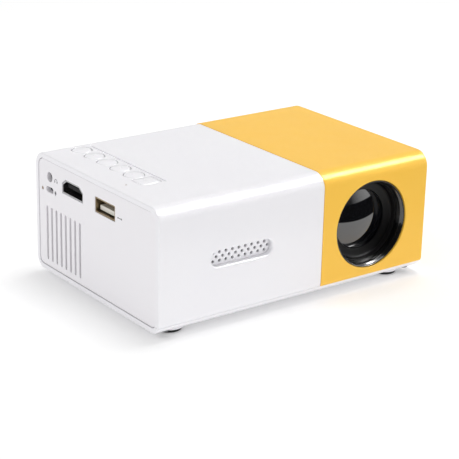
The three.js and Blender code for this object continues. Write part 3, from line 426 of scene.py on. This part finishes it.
def trumpet(loop, surface, depth, inward, fillet, axis):
    # A cutter for a hole with a rounded mouth: the growth falls as one minus the sine while the
    # depth rises as one minus the cosine.
    a = np.radians(np.linspace(0, 90, 5))
    stations = [(surface - inward * 0.6, fillet)]
    stations += [(surface + inward * (fillet * (1 - math.cos(t)) - 0.005), fillet * (1 - math.sin(t)))
                 for t in a]
    stations.append((surface + inward * depth, 0.0))
    return stacked(loop, stations, axis)


def turned(profile, centre, axis="z", steps=64, closed=True):
    # A profile of (radius, place) carried round an axis through centre.
    profile = np.asarray(profile, float)
    a = np.linspace(0, 2 * math.pi, steps, endpoint=False)
    r = profile[:, 0][:, None]
    u = r * np.cos(a)[None]
    v = r * np.sin(a)[None]
    w = np.repeat(profile[:, 1][:, None], steps, 1)
    cx, cy, cz = centre
    if axis == "z":
        points = np.stack([cx + u, cy + v, cz + w], -1)
    elif axis == "y":
        points = np.stack([cx + u, cy + w, cz + v], -1)
    else:
        points = np.stack([cx + w, cy + u, cz + v], -1)
    return points.reshape(-1, 3), gridFaces(len(profile), steps, True, closed)


def box(x, y, z):
    loop = np.array([[x[0], y[0]], [x[1], y[0]], [x[1], y[1]], [x[0], y[1]]], float)
    return stacked(loop, [(z[0], 0.0), (z[1], 0.0)], "z")


def quarter(cx, cy, radius, start, end, steps=5):
    return arcPoints(cx, cy, radius, start, end, steps).tolist()


def coverSection(inset, foot, steps=12):
    # The upper part of the case's section in (y, z): up the front from its foot, round the top
    # corners and down the back, drawn in by the inset.
    rt = case["topRadius"] - inset
    rb = case["bottomRadius"] - inset
    yt = case["depth"] / 2 - case["topRadius"]
    yb = case["depth"] / 2 - case["bottomRadius"]
    zt = case["height"] - case["topRadius"]
    a = math.degrees(math.asin((case["bottomRadius"] - foot) / rb))
    back = np.concatenate([arcPoints(yt, zt, rt, 90, 0, steps),
                           arcPoints(yb, case["bottomRadius"], rb, 0, -a, 3)])
    front = back[::-1] * np.array([-1.0, 1.0])
    return np.concatenate([front, back])


def traySection(inset, top, steps=10):
    # The lower part of the section: down the front, round the bottom corners and up the back.
    rb = case["bottomRadius"] - inset
    yb = case["depth"] / 2 - case["bottomRadius"]
    a = math.degrees(math.asin((case["bottomRadius"] - top) / rb))
    front = arcPoints(-yb, case["bottomRadius"], rb, 180 + a, 270, steps)
    back = front[::-1] * np.array([-1.0, 1.0])
    return np.concatenate([front, back])


def wallLoop(x0, x1, outer, inner, edge0, edge1):
    # The closed loop (x, inset) round the wall's thickness: outer face, rounded ends, inner face.
    loop = quarter(x0 + edge0, outer + edge0, edge0, 180, 270)
    loop += quarter(x1 - edge1, outer + edge1, edge1, 270, 360)
    loop += [(x1, inner), (x0, inner)]
    return np.array(loop)


def carried(section, loop):
    # A wall: each point of the loop slides the section to its x and draws it in by its inset.
    columns = [np.concatenate([np.full((len(section(0.5)), 1), x), section(inset)], 1)
               for x, inset in loop]
    points = np.stack(columns, 1)
    rows, count = points.shape[:2]
    faces = gridFaces(rows, count, closedColumns=True)
    faces.append(list(range(count)))
    faces.append([(rows - 1) * count + k for k in range(count)])
    return points.reshape(-1, 3), faces


keys = dict(x=-48.3, firstY=32.5, pitch=9.15, radius=3.8, squareY=-12.6, square=(8.4, 7.2),
            gap=0.32, mouth=0.18, crown=0.28, proud=0.3, groove=(-42.6, 8.8, 0.9, 51.8))
keyYs = [keys["firstY"] - i * keys["pitch"] for i in range(5)]
grille = dict(x=-26.5, z=24.6, width=28.6, height=7.2, mouth=0.5, hole=0.68, pitch=(2.9, 1.64),
              rows=(9, 10, 9))
lensLow, lensHigh = caseMillimetres("front_lens")
lens = dict(x=(lensLow[0] + lensHigh[0]) / 2, z=(lensLow[2] + lensHigh[2]) / 2, hole=17.5)

white = piece("white_shell", [carried(lambda s: coverSection(s, case["coverFoot"]),
              wallLoop(portEnd, case["seamX"] + 0.2, case["yellowProud"], innerInset, 0.5, 0.06))],
              whiteCase, None)
topCuts = [trumpet(disc(keys["x"], y, keys["radius"] + keys["gap"], 48), whiteTop, 3.2, -1,
                   keys["mouth"], "z") for y in keyYs]
sw, sh = keys["square"]
topCuts.append(trumpet(roundRect(keys["x"], keys["squareY"], sw + 2 * keys["gap"],
               sh + 2 * keys["gap"], 1.2), whiteTop, 3.2, -1, keys["mouth"], "z"))
gx, gy, gw, gl = keys["groove"]
topCuts.append(trumpet(roundRect(gx, gy, gw - 0.2, gl, gw / 2 - 0.12), whiteTop, 0.8, -1, 0.12, "z"))
topCuts.append(trumpet(disc(-57.2, -12.6, 0.45, 20), whiteTop, 3.2, -1, 0.06, "z"))
cutFrom(white, topCuts)
face = frontFace + case["yellowProud"]
slotLoop = roundRect(grille["x"], grille["z"], grille["width"] - 1.0, grille["height"] - 1.0, 3.05, 12)
cutFrom(white, [trumpet(slotLoop, face, 3.4, 1, grille["mouth"] + 0.25, "y")])
settle(white, "case", ["white_cover"])

yellow = piece("yellow_shell", [carried(lambda s: coverSection(s, case["coverFoot"]),
               wallLoop(case["seamX"] + 0.25, lensEnd, 0.0, innerInset, 0.12, 0.5))],
               yellowCase, None)
cutFrom(yellow, [trumpet(disc(lens["x"], lens["z"], lens["hole"], 128), frontFace, 3.4, 1, 0.25, "y")])
settle(yellow, "case", ["yellow_cover"])
print("covers ready")


tray = dict(top=3.2, footX=52.0, footY=33.0, footRadius=4.8, footDrop=2.2, bossRadius=5.7,
            bossDrop=0.9, screwX=57.5, screwY=38.0, screwHead=2.0, insert=5.0, slots=7,
            slotX=-38.0, slotY=22.6)
corners = [(-1, -1, "front_left"), (1, -1, "front_right"), (1, 1, "back_right"), (-1, 1, "back_left")]
trayParts = [carried(lambda s: traySection(s, tray["top"]),
             wallLoop(portEnd, lensEnd, case["yellowProud"], innerInset, 0.5, 0.5))]
bottom = piece("bottom_shell", trayParts, whiteCase, None)
bossProfile = [(0, -tray["bossDrop"] + 0.0), (tray["bossRadius"] - 0.5, -tray["bossDrop"])]
bossProfile += [(r, z) for r, z in quarter(tray["bossRadius"] - 0.5, -tray["bossDrop"] + 0.5, 0.5, -90, 0)]
bossProfile += [(tray["bossRadius"], 0.9), (0, 0.9)]
join = bottom.modifiers.new("bosses", "BOOLEAN")
join.operation = "UNION"
join.solver = "EXACT"
join.object = piece("bosses_cutter", [turned(bossProfile, (sx * tray["footX"], sy * tray["footY"], 0),
                    closed=False) for sx, sy, _ in corners], None, None)
bossesJoined = join.object
graph = bpy.context.evaluated_depsgraph_get()
joinedMesh = bpy.data.meshes.new_from_object(bottom.evaluated_get(graph))
bottom.modifiers.clear()
bottom.data = joinedMesh
bpy.data.objects.remove(bossesJoined)
trayCuts = []
for sx, sy, _ in corners:
    trayCuts.append(trumpet(disc(sx * tray["footX"], sy * tray["footY"], tray["footRadius"] + 0.12, 48),
                            -tray["bossDrop"], tray["bossDrop"] + 0.8, 1, 0.15, "z"))
    trayCuts.append(trumpet(disc(sx * tray["screwX"], sy * tray["screwY"], tray["screwHead"] + 0.2, 32),
                            case["yellowProud"] * 0, 1.6, 1, 0.15, "z"))
trayCuts.append(trumpet(disc(0, 0, tray["insert"] + 0.08, 48), case["yellowProud"], 6.0, 1, 0.2, "z"))
for i in range(tray["slots"]):
    x = tray["slotX"] + (i - (tray["slots"] - 1) / 2) * 3
    trayCuts.append(trumpet(roundRect(x, tray["slotY"], 1.4, 20, 0.69), case["yellowProud"], 4.0, 1,
                            0.2, "z"))
cutFrom(bottom, trayCuts)
settle(bottom, "case", ["bottom_tray"])

for sx, sy, name in corners:
    r, d = tray["footRadius"], tray["footDrop"]
    profile = [(0.0, -d + 0.12), (r - 1.6, -d + 0.12), (r - 1.4, -d)]
    profile += quarter(r - 0.5, -d + 0.5, 0.5, -90, 0) + [(r, 0.74), (0.0, 0.74)]
    piece("foot_pad_" + name, [turned(profile, (sx * tray["footX"], sy * tray["footY"], 0), closed=False)],
          footRubber, "case", ["foot_" + name])


def threadedInsert():
    # A brass bush whose bore is a sawtooth of depth against height plus angle over a turn, so
    # the ridge climbs as a screw thread.
    steps, rows = 64, 61
    pitch, depth = 1.27, 0.35
    a = np.linspace(0, 2 * math.pi, steps, endpoint=False)[None]
    z = np.linspace(0.45, 6.0, rows)[:, None]
    phase = (z / pitch + a / (2 * math.pi)) % 1.0
    r = 3.12 + depth * (1 - np.abs(2 * phase - 1))
    fade = np.clip((z - 0.45) / 0.5, 0, 1)
    r = r * fade + 3.5 * (1 - fade)
    bore = np.stack([r * np.cos(a), r * np.sin(a), z + 0 * a], -1)
    outer = [(3.75, 0.2), (tray["insert"] - 0.3, 0.2), (tray["insert"], 0.5), (tray["insert"], 6.9),
             (0.01, 6.9)]
    ring, _ = turned(outer, (0, 0, 0), steps=steps)
    ring = ring.reshape(len(outer), steps, 3)
    floor = np.stack([0.01 * np.cos(a[0]), 0.01 * np.sin(a[0]), np.full(steps, 6.0)], -1)[None]
    points = np.concatenate([ring[::-1], bore, floor])
    rows = len(points)
    faces = gridFaces(rows, steps, closedColumns=True)
    faces.append(list(range(steps)))
    faces.append([(rows - 1) * steps + k for k in range(steps)])
    return points.reshape(-1, 3), faces


piece("screw_insert", [threadedInsert()], turnedBrass, "case", ["tripod_insert"])
print("tray ready")


def plateLoop(inset):
    # The whole section drawn in by the inset, anticlockwise.
    rt = case["topRadius"] - inset
    rb = case["bottomRadius"] - inset
    yt, zt = case["depth"] / 2 - case["topRadius"], case["height"] - case["topRadius"]
    yb, zb = case["depth"] / 2 - case["bottomRadius"], case["bottomRadius"]
    return np.concatenate([arcPoints(yt, zt, rt, 0, 90, 10), arcPoints(-yt, zt, rt, 90, 180, 10),
                           arcPoints(-yb, zb, rb, 180, 270, 8), arcPoints(yb, zb, rb, 270, 360, 8)])


ports = dict(video=(15.8, 38.45, 15.2, 5.9), videoCorner=(2.6, 1.9), data=(-7.0, 37.9, 13.75, 6.1),
             jack=(32.5, 39.25, 2.05), power=(32.6, 34.1, 5.6, 2.4), light=(37.9, 33.5, 0.75))
vents = dict(count=8, pitch=3.43, width=1.5, height=22.3, y=22.8, z=16.05, mouth=0.18)
plates = dict(recess=0.25, thick=2.0, seam=0.25, edge=0.15)


def ventLoops():
    m = vents["mouth"]
    return [roundRect(vents["y"] + (i - (vents["count"] - 1) / 2) * vents["pitch"], vents["z"],
                      vents["width"] - 2 * m * 0.5, vents["height"] - 2 * m * 0.5,
                      vents["width"] / 2 - m * 0.5 - 0.01, 6) for i in range(vents["count"])]


def plateSolid(x0, x1, outward):
    e = plates["edge"]
    inset = innerInset + plates["seam"]
    loop = plateLoop(inset)
    outerX, innerX = (x0, x1) if outward < 0 else (x1, x0)
    stations = [(outerX, -e)] + [(outerX - outward * e * (1 - math.cos(t)), -e * (1 - math.sin(t)))
                                 for t in np.radians([22, 45, 68, 90])] + [(innerX, 0.0)]
    return stacked(loop, stations, "x")


def videoLoop():
    y, z, w, h = ports["video"]
    cw, ch = ports["videoCorner"]
    w, h = w / 2 - 0.05, h / 2 - 0.05
    return np.array([(y - w, z - h), (y + w, z - h), (y + w, z + h - ch), (y + w - cw, z + h),
                     (y - w + cw, z + h), (y - w, z + h - ch)])


plateOut = portEnd + plates["recess"]
plateIn = plateOut + plates["thick"]
endPlate = piece("port_plate", [plateSolid(plateOut, plateIn, -1)], whiteEnd, None)
dy, dz, dw, dh = ports["data"]
jy, jz, jr = ports["jack"]
py, pz, pw, ph = ports["power"]
ly, lz, lr = ports["light"]
plateCuts = [trumpet(videoLoop(), plateOut, 3.0, 1, 0.12, "x"),
             trumpet(roundRect(dy, dz, dw - 0.1, dh - 0.1, 0.3, 3), plateOut, 3.0, 1, 0.12, "x"),
             trumpet(disc(jy, jz, jr - 0.1, 40), plateOut, 3.0, 1, 0.2, "x"),
             trumpet(roundRect(py, pz, pw - 0.2, ph - 0.2, ph / 2 - 0.12, 8), plateOut, 3.0, 1, 0.15, "x"),
             trumpet(disc(ly, lz, lr - 0.05, 24), plateOut, 3.0, 1, 0.08, "x")]
plateCuts += [trumpet(loop, plateOut, 3.0, 1, vents["mouth"], "x") for loop in ventLoops()]
cutFrom(endPlate, plateCuts)
settle(endPlate, "case", ["port_end_plate"])

lensOut = lensEnd - plates["recess"]
lensIn = lensOut - plates["thick"]
wheel = dict(tip=6.25, proud=1.4, y=-22.0, z=(21.6, 26.4))
wheel["x"] = lensEnd + wheel["proud"] - wheel["tip"]
lensPlate = piece("lens_plate", [plateSolid(lensIn, lensOut, 1)], yellowCase, None)
half = math.sqrt(wheel["tip"] ** 2 - (lensIn - wheel["x"]) ** 2) + 0.6
wheelLoop = roundRect(wheel["y"], sum(wheel["z"]) / 2, 2 * half - 0.3, wheel["z"][1] - wheel["z"][0] + 0.5,
                      0.8, 5)
lensCuts = [trumpet(loop, lensOut, 3.0, -1, vents["mouth"], "x") for loop in ventLoops()]
lensCuts.append(trumpet(wheelLoop, lensOut, 3.0, -1, 0.25, "x"))
cutFrom(lensPlate, lensCuts)
settle(lensPlate, "case", ["lens_end_plate"])
print("end plates ready")


keyNames = ["menu", "left", "ok", "right", "back"]


def stroke(path, width):
    # A ribbon: the path moved half a width to each side of its own direction.
    path = np.asarray(path, float)
    d = np.gradient(path, axis=0)
    n = np.stack([-d[:, 1], d[:, 0]], -1)
    n /= np.maximum(np.linalg.norm(n, axis=1, keepdims=True), 1e-9)
    return np.concatenate([path + n * width / 2, (path - n * width / 2)[::-1]])


def keyMarks(name):
    # Plain signs in the key's own plane: lines, arrows, a ring and a bar.
    w = 0.28
    if name == "menu":
        return [stroke([(-0.9, y), (0.9, y)], w) for y in (-0.7, 0.0, 0.7)]
    if name == "left":
        return [stroke([(-0.2, -0.9), (-0.9, 0.0)], w), stroke([(-0.2, 0.9), (-0.9, 0.0)], w),
                stroke([(0.9, -0.9), (0.2, 0.0)], w), stroke([(0.9, 0.9), (0.2, 0.0)], w)]
    if name == "ok":
        return [stroke([(-0.6, -0.8), (-0.6, 0.8)], w), stroke([(-0.6, 0.8), (0.7, 0.0)], w),
                stroke([(-0.6, -0.8), (0.7, 0.0)], w)]
    if name == "right":
        return [stroke([(0.2, -0.9), (0.9, 0.0)], w), stroke([(0.2, 0.9), (0.9, 0.0)], w),
                stroke([(-0.9, -0.9), (-0.2, 0.0)], w), stroke([(-0.9, 0.9), (-0.2, 0.0)], w)]
    if name == "back":
        return [stroke([(0.9, 0.4), (-0.6, 0.4)], w), stroke([(-0.6, 0.4), (-0.1, 0.95)], w),
                stroke([(-0.6, 0.4), (-0.1, -0.15)], w), stroke([(0.9, 0.4), (0.9, -0.7)], w)]
    return [stroke(arcPoints(0, 0, 1.05, 125, 415, 18), w), stroke([(0.0, 0.3), (0.0, 1.35)], w)]


def domedKey(loop, centre, markSet):
    # A key: its outline shrinks towards the middle while the height rises as one minus the
    # square of the distance, then rolls over the edge and runs down to a flange.
    cx, cy = centre
    top = whiteTop + keys["proud"]
    crown = keys["crown"]
    rim = 0.42
    inner = grown(loop, -rim)
    rings = []
    for s in np.linspace(0.06, 1.0, 9):
        ring = inner * s
        rings.append(np.concatenate([ring, np.full((len(ring), 1), top - crown * s * s)], 1))
    for t in np.radians([22.5, 45, 67.5, 90]):
        ring = grown(loop, -rim * (1 - math.sin(t)))
        z = top - crown - rim * (1 - math.cos(t))
        rings.append(np.concatenate([ring, np.full((len(ring), 1), z)], 1))
    for z, growth in ((45.5, 0.0), (45.5, 0.55), (44.9, 0.55)):
        ring = grown(loop, growth)
        rings.append(np.concatenate([ring, np.full((len(ring), 1), z)], 1))
    points = np.concatenate(rings) + np.array([cx, cy, 0.0])
    faces = gridFaces(len(rings), len(loop), closedColumns=True)
    faces.append(list(range(len(loop))))
    faces.append([(len(rings) - 1) * len(loop) + k for k in range(len(loop))])
    parts = [(points, faces)]
    reach = np.abs(inner).max()
    for mark in markSet:
        turn = np.stack([-mark[:, 1], mark[:, 0]], -1)
        height = top - crown * ((turn ** 2).sum(1) / reach ** 2)
        low = np.concatenate([turn, (height - 0.15)[:, None]], 1) + np.array([cx, cy, 0.0])
        high = np.concatenate([turn * 0.985, (height + 0.06)[:, None]], 1) + np.array([cx, cy, 0.0])
        n = len(mark)
        parts.append((np.concatenate([low, high]), gridFaces(2, n, closedColumns=True)
                      + [list(range(n)), [n + k for k in range(n)]]))
    return parts


for name, y in zip(keyNames, keyYs):
    piece("cap_" + name, domedKey(disc(0, 0, keys["radius"], 48), (keys["x"], y), keyMarks(name)),
          whiteCase, "key_" + name, ["key_" + name])
piece("cap_power", domedKey(roundRect(0, 0, sw, sh, 0.95), (keys["x"], keys["squareY"]),
      keyMarks("power")), whiteCase, "key_power", ["key_power"])
print("keys ready")


grilleFace = frontFace + innerInset + 0.25
insert = piece("grille_insert", [stacked(roundRect(grille["x"], grille["z"], grille["width"] + 5,
               grille["height"] + 4, 2.0), [(grilleFace, 0.0), (grilleFace + 1.0, 0.0)], "y")],
               whiteCase, None)
holes = []
for row, count in enumerate(grille["rows"]):
    for i in range(count):
        hx = grille["x"] + (i - (count - 1) / 2) * grille["pitch"][0]
        hz = grille["z"] + (1 - row) * grille["pitch"][1]
        holes.append(trumpet(disc(hx, hz, grille["hole"] - 0.06, 20), grilleFace, 1.6, 1, 0.12, "y"))
cutFrom(insert, holes)
settle(insert, "case", ["speaker_grille"])
print("grille ready")


optics = dict(lipRadius=17.27, lipRound=0.2, lipBehind=0.47, throatRadius=15.8, throatBehind=4.25,
              barrelFront=6.4, rim=15.22, ring=12.0, glassRadius=12.4, glassEdge=8.0, glassCrown=2.2)
lensCentre = (lens["x"], frontFace, lens["z"])


def funnelProfile():
    # A half-round lip, a chamfer near 45 degrees, then an almost straight wall.
    mouth = optics["lipRadius"] - 2 * optics["lipRound"]
    front = optics["lipBehind"] + optics["lipRound"]
    lip = arcPoints(mouth + optics["lipRound"], front, optics["lipRound"], 0, -180, 8)
    wall = np.array([(16.55, 1.1), (16.2, 1.55), (15.95, 2.05), (15.86, 2.7),
                     (optics["throatRadius"], optics["throatBehind"])])
    back = np.array([(optics["throatRadius"] + 0.12, optics["throatBehind"] + 0.2), (16.6, 3.8), (17.2, 1.5)])
    return np.concatenate([lip, wall, back])


piece("lens_funnel", [turned(funnelProfile(), lensCentre, "y", 160)], funnelBlack, "case",
      smoothAngle=50)


def barrelFrontProfile():
    # From the glass out: a small step, a long black slope, a groove and a thin raised rim.
    f = optics["barrelFront"]
    inner, rim = optics["ring"], optics["rim"]
    front = [(inner, f + 0.98), (inner + 0.08, f + 0.78), (inner + 0.35, f + 0.66), (inner + 0.5, f + 0.6)]
    front += [(14.3, f + 0.17), (14.55, f + 0.1), (14.65, f + 0.02), (rim - 0.3, f - 0.04)]
    front += quarter(rim, f - 0.14, 0.2, 180, 360, 10)[1:]
    back = [(rim + 0.22, f + 0.2), (14.6, f + 0.5), (12.5, f + 1.2), (inner, f + 1.2)]
    return np.array(front + back)


piece("barrel_front", [turned(barrelFrontProfile(), lensCentre, "y", 160)], barrelBlack, "lens",
      ["lens_ring"], smoothAngle=24)


def glassProfile():
    # A spherical crown in front of a short edge and a flat back.
    r = np.linspace(0.0, optics["glassRadius"], 28)
    crown = optics["glassCrown"]
    radius = (optics["glassRadius"] ** 2 + crown ** 2) / (2 * crown)
    sag = radius - np.sqrt(radius ** 2 - r ** 2)
    front = np.stack([r, optics["glassEdge"] - crown + sag], -1)
    return np.concatenate([front, [(optics["glassRadius"], 13.0), (0.0, 13.0)]])


piece("front_glass", [turned(glassProfile(), lensCentre, "y", 128, closed=False)], lensGlass, "lens",
      ["front_lens"], smoothAngle=50)
print("lens ready")


def printed(name, marks, centre):
    # Thin raised ink: each outline stands a few hundredths off the plate.
    parts = []
    for mark in marks:
        loop = np.asarray(mark, float) * np.array([-1.0, 1.0]) + np.array(centre)
        parts.append(stacked(loop, [(plateOut + 0.02, 0.0), (plateOut - 0.025, 0.0)], "x"))
    piece(name, parts, printInk, "case", weighted=False)


headphone = [stroke(arcPoints(0, 0, 0.85, 10, 170, 14), 0.22),
             roundRect(-0.85, -0.25, 0.5, 0.85, 0.2, 3), roundRect(0.85, -0.25, 0.5, 0.85, 0.2, 3)]
plugSign = [roundRect(0, 0.05, 1.1, 1.0, 0.2, 3), stroke([(-0.28, 0.5), (-0.28, 1.0)], 0.2),
            stroke([(0.28, 0.5), (0.28, 1.0)], 0.2), stroke([(0, -0.4), (0, -1.0)], 0.2)]
arrowSign = [stroke([(-1.2, 0), (0.8, 0)], 0.22), np.array([(0.7, -0.45), (1.5, 0.0), (0.7, 0.45)]),
             roundRect(-1.3, 0, 0.6, 0.6, 0.28, 3)]
printed("sign_sound", headphone, (43 - 15.2, 48 - 9.25))
printed("sign_power", plugSign, (43 - 14.75, 48 - 14.2))
printed("sign_data", arrowSign, (43 - 60.2, 48 - 10.8))

# Contacts on the two tongues
vy, vz = ports["video"][:2]
videoContacts = [box((-61.2, -55.0), (vy + o - 0.16, vy + o + 0.16), (vz + 0.35 - 0.79, vz + 0.35 - 0.7))
                 for o in np.linspace(-4.5, 4.5, 10)]
piece("video_contacts", videoContacts, goldContact, "case", weighted=False)
dataContacts = [box((-60.6, -54.0), (dy + o - 0.5, dy + o + 0.5), (dz - 1.05 - 0.98, dz - 1.05 - 0.86))
                for o in (-3.5, -1.0, 1.0, 3.5)]
piece("data_contacts", dataContacts, goldContact, "case", weighted=False)
print("ports ready")


kept = dict(lens_housing=blackTube, lens_barrel=barrelBlack, rear_lens=lensGlass, condenser_lens=lensGlass,
            focus_wheel=wheelPlastic, focus_axle=platedSteel, video_socket_shell=platedSteel,
            video_socket_tongue=blackInside, data_socket_shell=warmPlate, data_socket_tongue=ivoryTongue,
            jack_block=blackInside, power_socket=platedSteel, status_light=lightLens, key_light=lightLens,
            main_board=boardGreen, speaker_frame=blackInside, speaker_cone=conePaper, fan_frame=blackInside,
            fan_impeller=blackInside, heat_sink=heatAluminium, lamp_board=heatAluminium,
            lamp_emitter=amberFilm, light_box=blackInside, light_box_lid=blackInside, rear_fresnel=clearLens,
            lcd_panel=darkDisplay, front_fresnel=clearLens, fold_mirror=mirrorSilver, fan_cable=cableSkin,
            speaker_cable=cableSkin, display_cable=amberFilm)
for _, _, name in corners:
    kept["case_screw_" + name] = screwSteel
for name in keyNames + ["power"]:
    kept["switch_" + name] = blackInside
for name, finish in kept.items():
    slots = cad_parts[name].data.materials
    slots.clear()
    slots.append(finish)
print("kept nodes dressed")


studio = dict(azimuth=-36.84, elevation=19.94, roll=1.33, target=(-0.7, 0.0, 15.6), distance=615.2,
              focal=1562.3, horizon=0.98, zenith=0.5, fromFront=0.05, key=3.4, keyFrom=(0.2, 0.02, 1.0),
              keySize=0.42, floorTone=0.95, floorGlow=0.16, tableEdge=0.1215, edgeLight=13.0,
              roundTo=(0.56, -0.31, 0.77), roundReach=0.26, roundGlow=45.0, sideTo=(0.78, -0.6, 0.1),
              sideReach=0.5, sideGlow=1.2, darkRoom=0.02, wallGlow=0.4, rightGlow=0.22)

mesh = bpy.data.meshes.new("floor")
mesh.from_pydata([(-40, -40, 0), (40, -40, 0), (40, 40, 0), (-40, 40, 0)], [], [(0, 1, 2, 3)])
floor = bpy.data.objects.new("floor", mesh)
bpy.context.scene.collection.objects.link(floor)
# The pale floor; in reflections it ends a hand's width in front of the case, as a table does.
f = Finish("paleFloor")
t = studio["floorTone"]
split = f.add("ShaderNodeSeparateXYZ", None, {0: f.place()})
past = ((split.out(0) * 0.3 - split.out(1) - studio["tableEdge"]) * 250.0).clamped()
gone = past * f.add("ShaderNodeLightPath").out("Is Glossy Ray")
black = (0.0, 0.0, 0.0, 1.0)
far = (0.12, 0.12, 0.12, 1.0)
mesh.materials.append(f.surface(**{"Base Color": f.blend(gone, (t, t, t, 1.0), black), "Roughness": 0.8,
                                   "Specular IOR Level": 0.0,
                                   "Emission Color": f.blend(gone, (1.0, 1.0, 1.0, 1.0), far),
                                   "Emission Strength": studio["floorGlow"]}))

# The world lights the object like a white tent, brighter at the sides than overhead. Reflections
# see a dark room instead, with a long strip light and a round one high in front, a faint one low on
# the right and a pale wall behind.
world = bpy.data.worlds.new("studio")
bpy.context.scene.world = world
w = Finish("studio", world)
direction = w.add("ShaderNodeTexCoord").out("Generated")
split = w.add("ShaderNodeSeparateXYZ", None, {0: direction})
sx, sy, sz = split.out(0), split.out(1), split.out(2)
tent = studio["horizon"] - sz.clamped() * (studio["horizon"] - studio["zenith"]) - sy * studio["fromFront"]


def roundLight(toward, reach):
    # One at its middle, falling with the square of the distance, to nothing at the reach.
    dx, dy, dz = sx - toward[0], sy - toward[1], sz - toward[2]
    return (1.0 - (dx * dx + dy * dy + dz * dz) * (1 / reach ** 2)).clamped()


across = sy + sz * 0.45
strip = (1.0 - across * across * 24.0).clamped() * ((sx - 0.2) * 4.0).clamped() * (sz * 4.0).clamped()
wallBehind = ((sy + 0.1) * 4.0).clamped() * studio["wallGlow"]
shown = studio["darkRoom"] + wallBehind + strip * studio["edgeLight"]
shown = shown + roundLight(studio["roundTo"], studio["roundReach"]) * studio["roundGlow"]
shown = shown + roundLight(studio["sideTo"], studio["sideReach"]) * studio["sideGlow"]
fromRight = ((sz + 0.1) * 3.0).clamped() * ((sx + 0.1) * 2.0).clamped()
shown = shown + fromRight * studio["rightGlow"]
mirrored = w.add("ShaderNodeLightPath").out("Is Glossy Ray")
level = (1.0 - mirrored) * tent + mirrored * shown
tone = w.add("ShaderNodeCombineColor", None, {0: level, 1: level, 2: level}).out(0)
lit = w.add("ShaderNodeBackground", None, {"Color": tone, "Strength": 1.0}).out(0)
w.add("ShaderNodeOutputWorld", None, {"Surface": lit})

lamp = bpy.data.lights.new("softbox", "AREA")
lamp.shape = "SQUARE"
lamp.size = studio["keySize"]
lamp.energy = studio["key"]
softbox = bpy.data.objects.new("softbox", lamp)
softbox.location = Vector(studio["keyFrom"])
softbox.rotation_euler = (-Vector(studio["keyFrom"])).to_track_quat("-Z", "Y").to_euler()
bpy.context.scene.collection.objects.link(softbox)

az, el, roll = (math.radians(studio[k]) for k in ("azimuth", "elevation", "roll"))
back = Vector((math.sin(az) * math.cos(el), -math.cos(az) * math.cos(el), math.sin(el)))
right = Vector((0, 0, 1)).cross(back).normalized()
up = back.cross(right)
right2 = right * math.cos(roll) + up * math.sin(roll)
up2 = up * math.cos(roll) - right * math.sin(roll)
target = (Vector(studio["target"]) + Vector((caseX, 0, caseZ))) / 1000
camera = bpy.data.objects.new("camera", bpy.data.cameras.new("camera"))
camera.data.lens = studio["focal"] / 459 * 36
camera.data.clip_start = 0.01
camera.data.clip_end = 100
place = target + back * studio["distance"] / 1000
camera.matrix_world = Matrix(((right2.x, up2.x, back.x, place.x), (right2.y, up2.y, back.y, place.y),
                              (right2.z, up2.z, back.z, place.z), (0, 0, 0, 1)))
bpy.context.scene.collection.objects.link(camera)
bpy.context.scene.camera = camera
bpy.context.scene.view_settings.view_transform = "Standard"
print("stage ready")
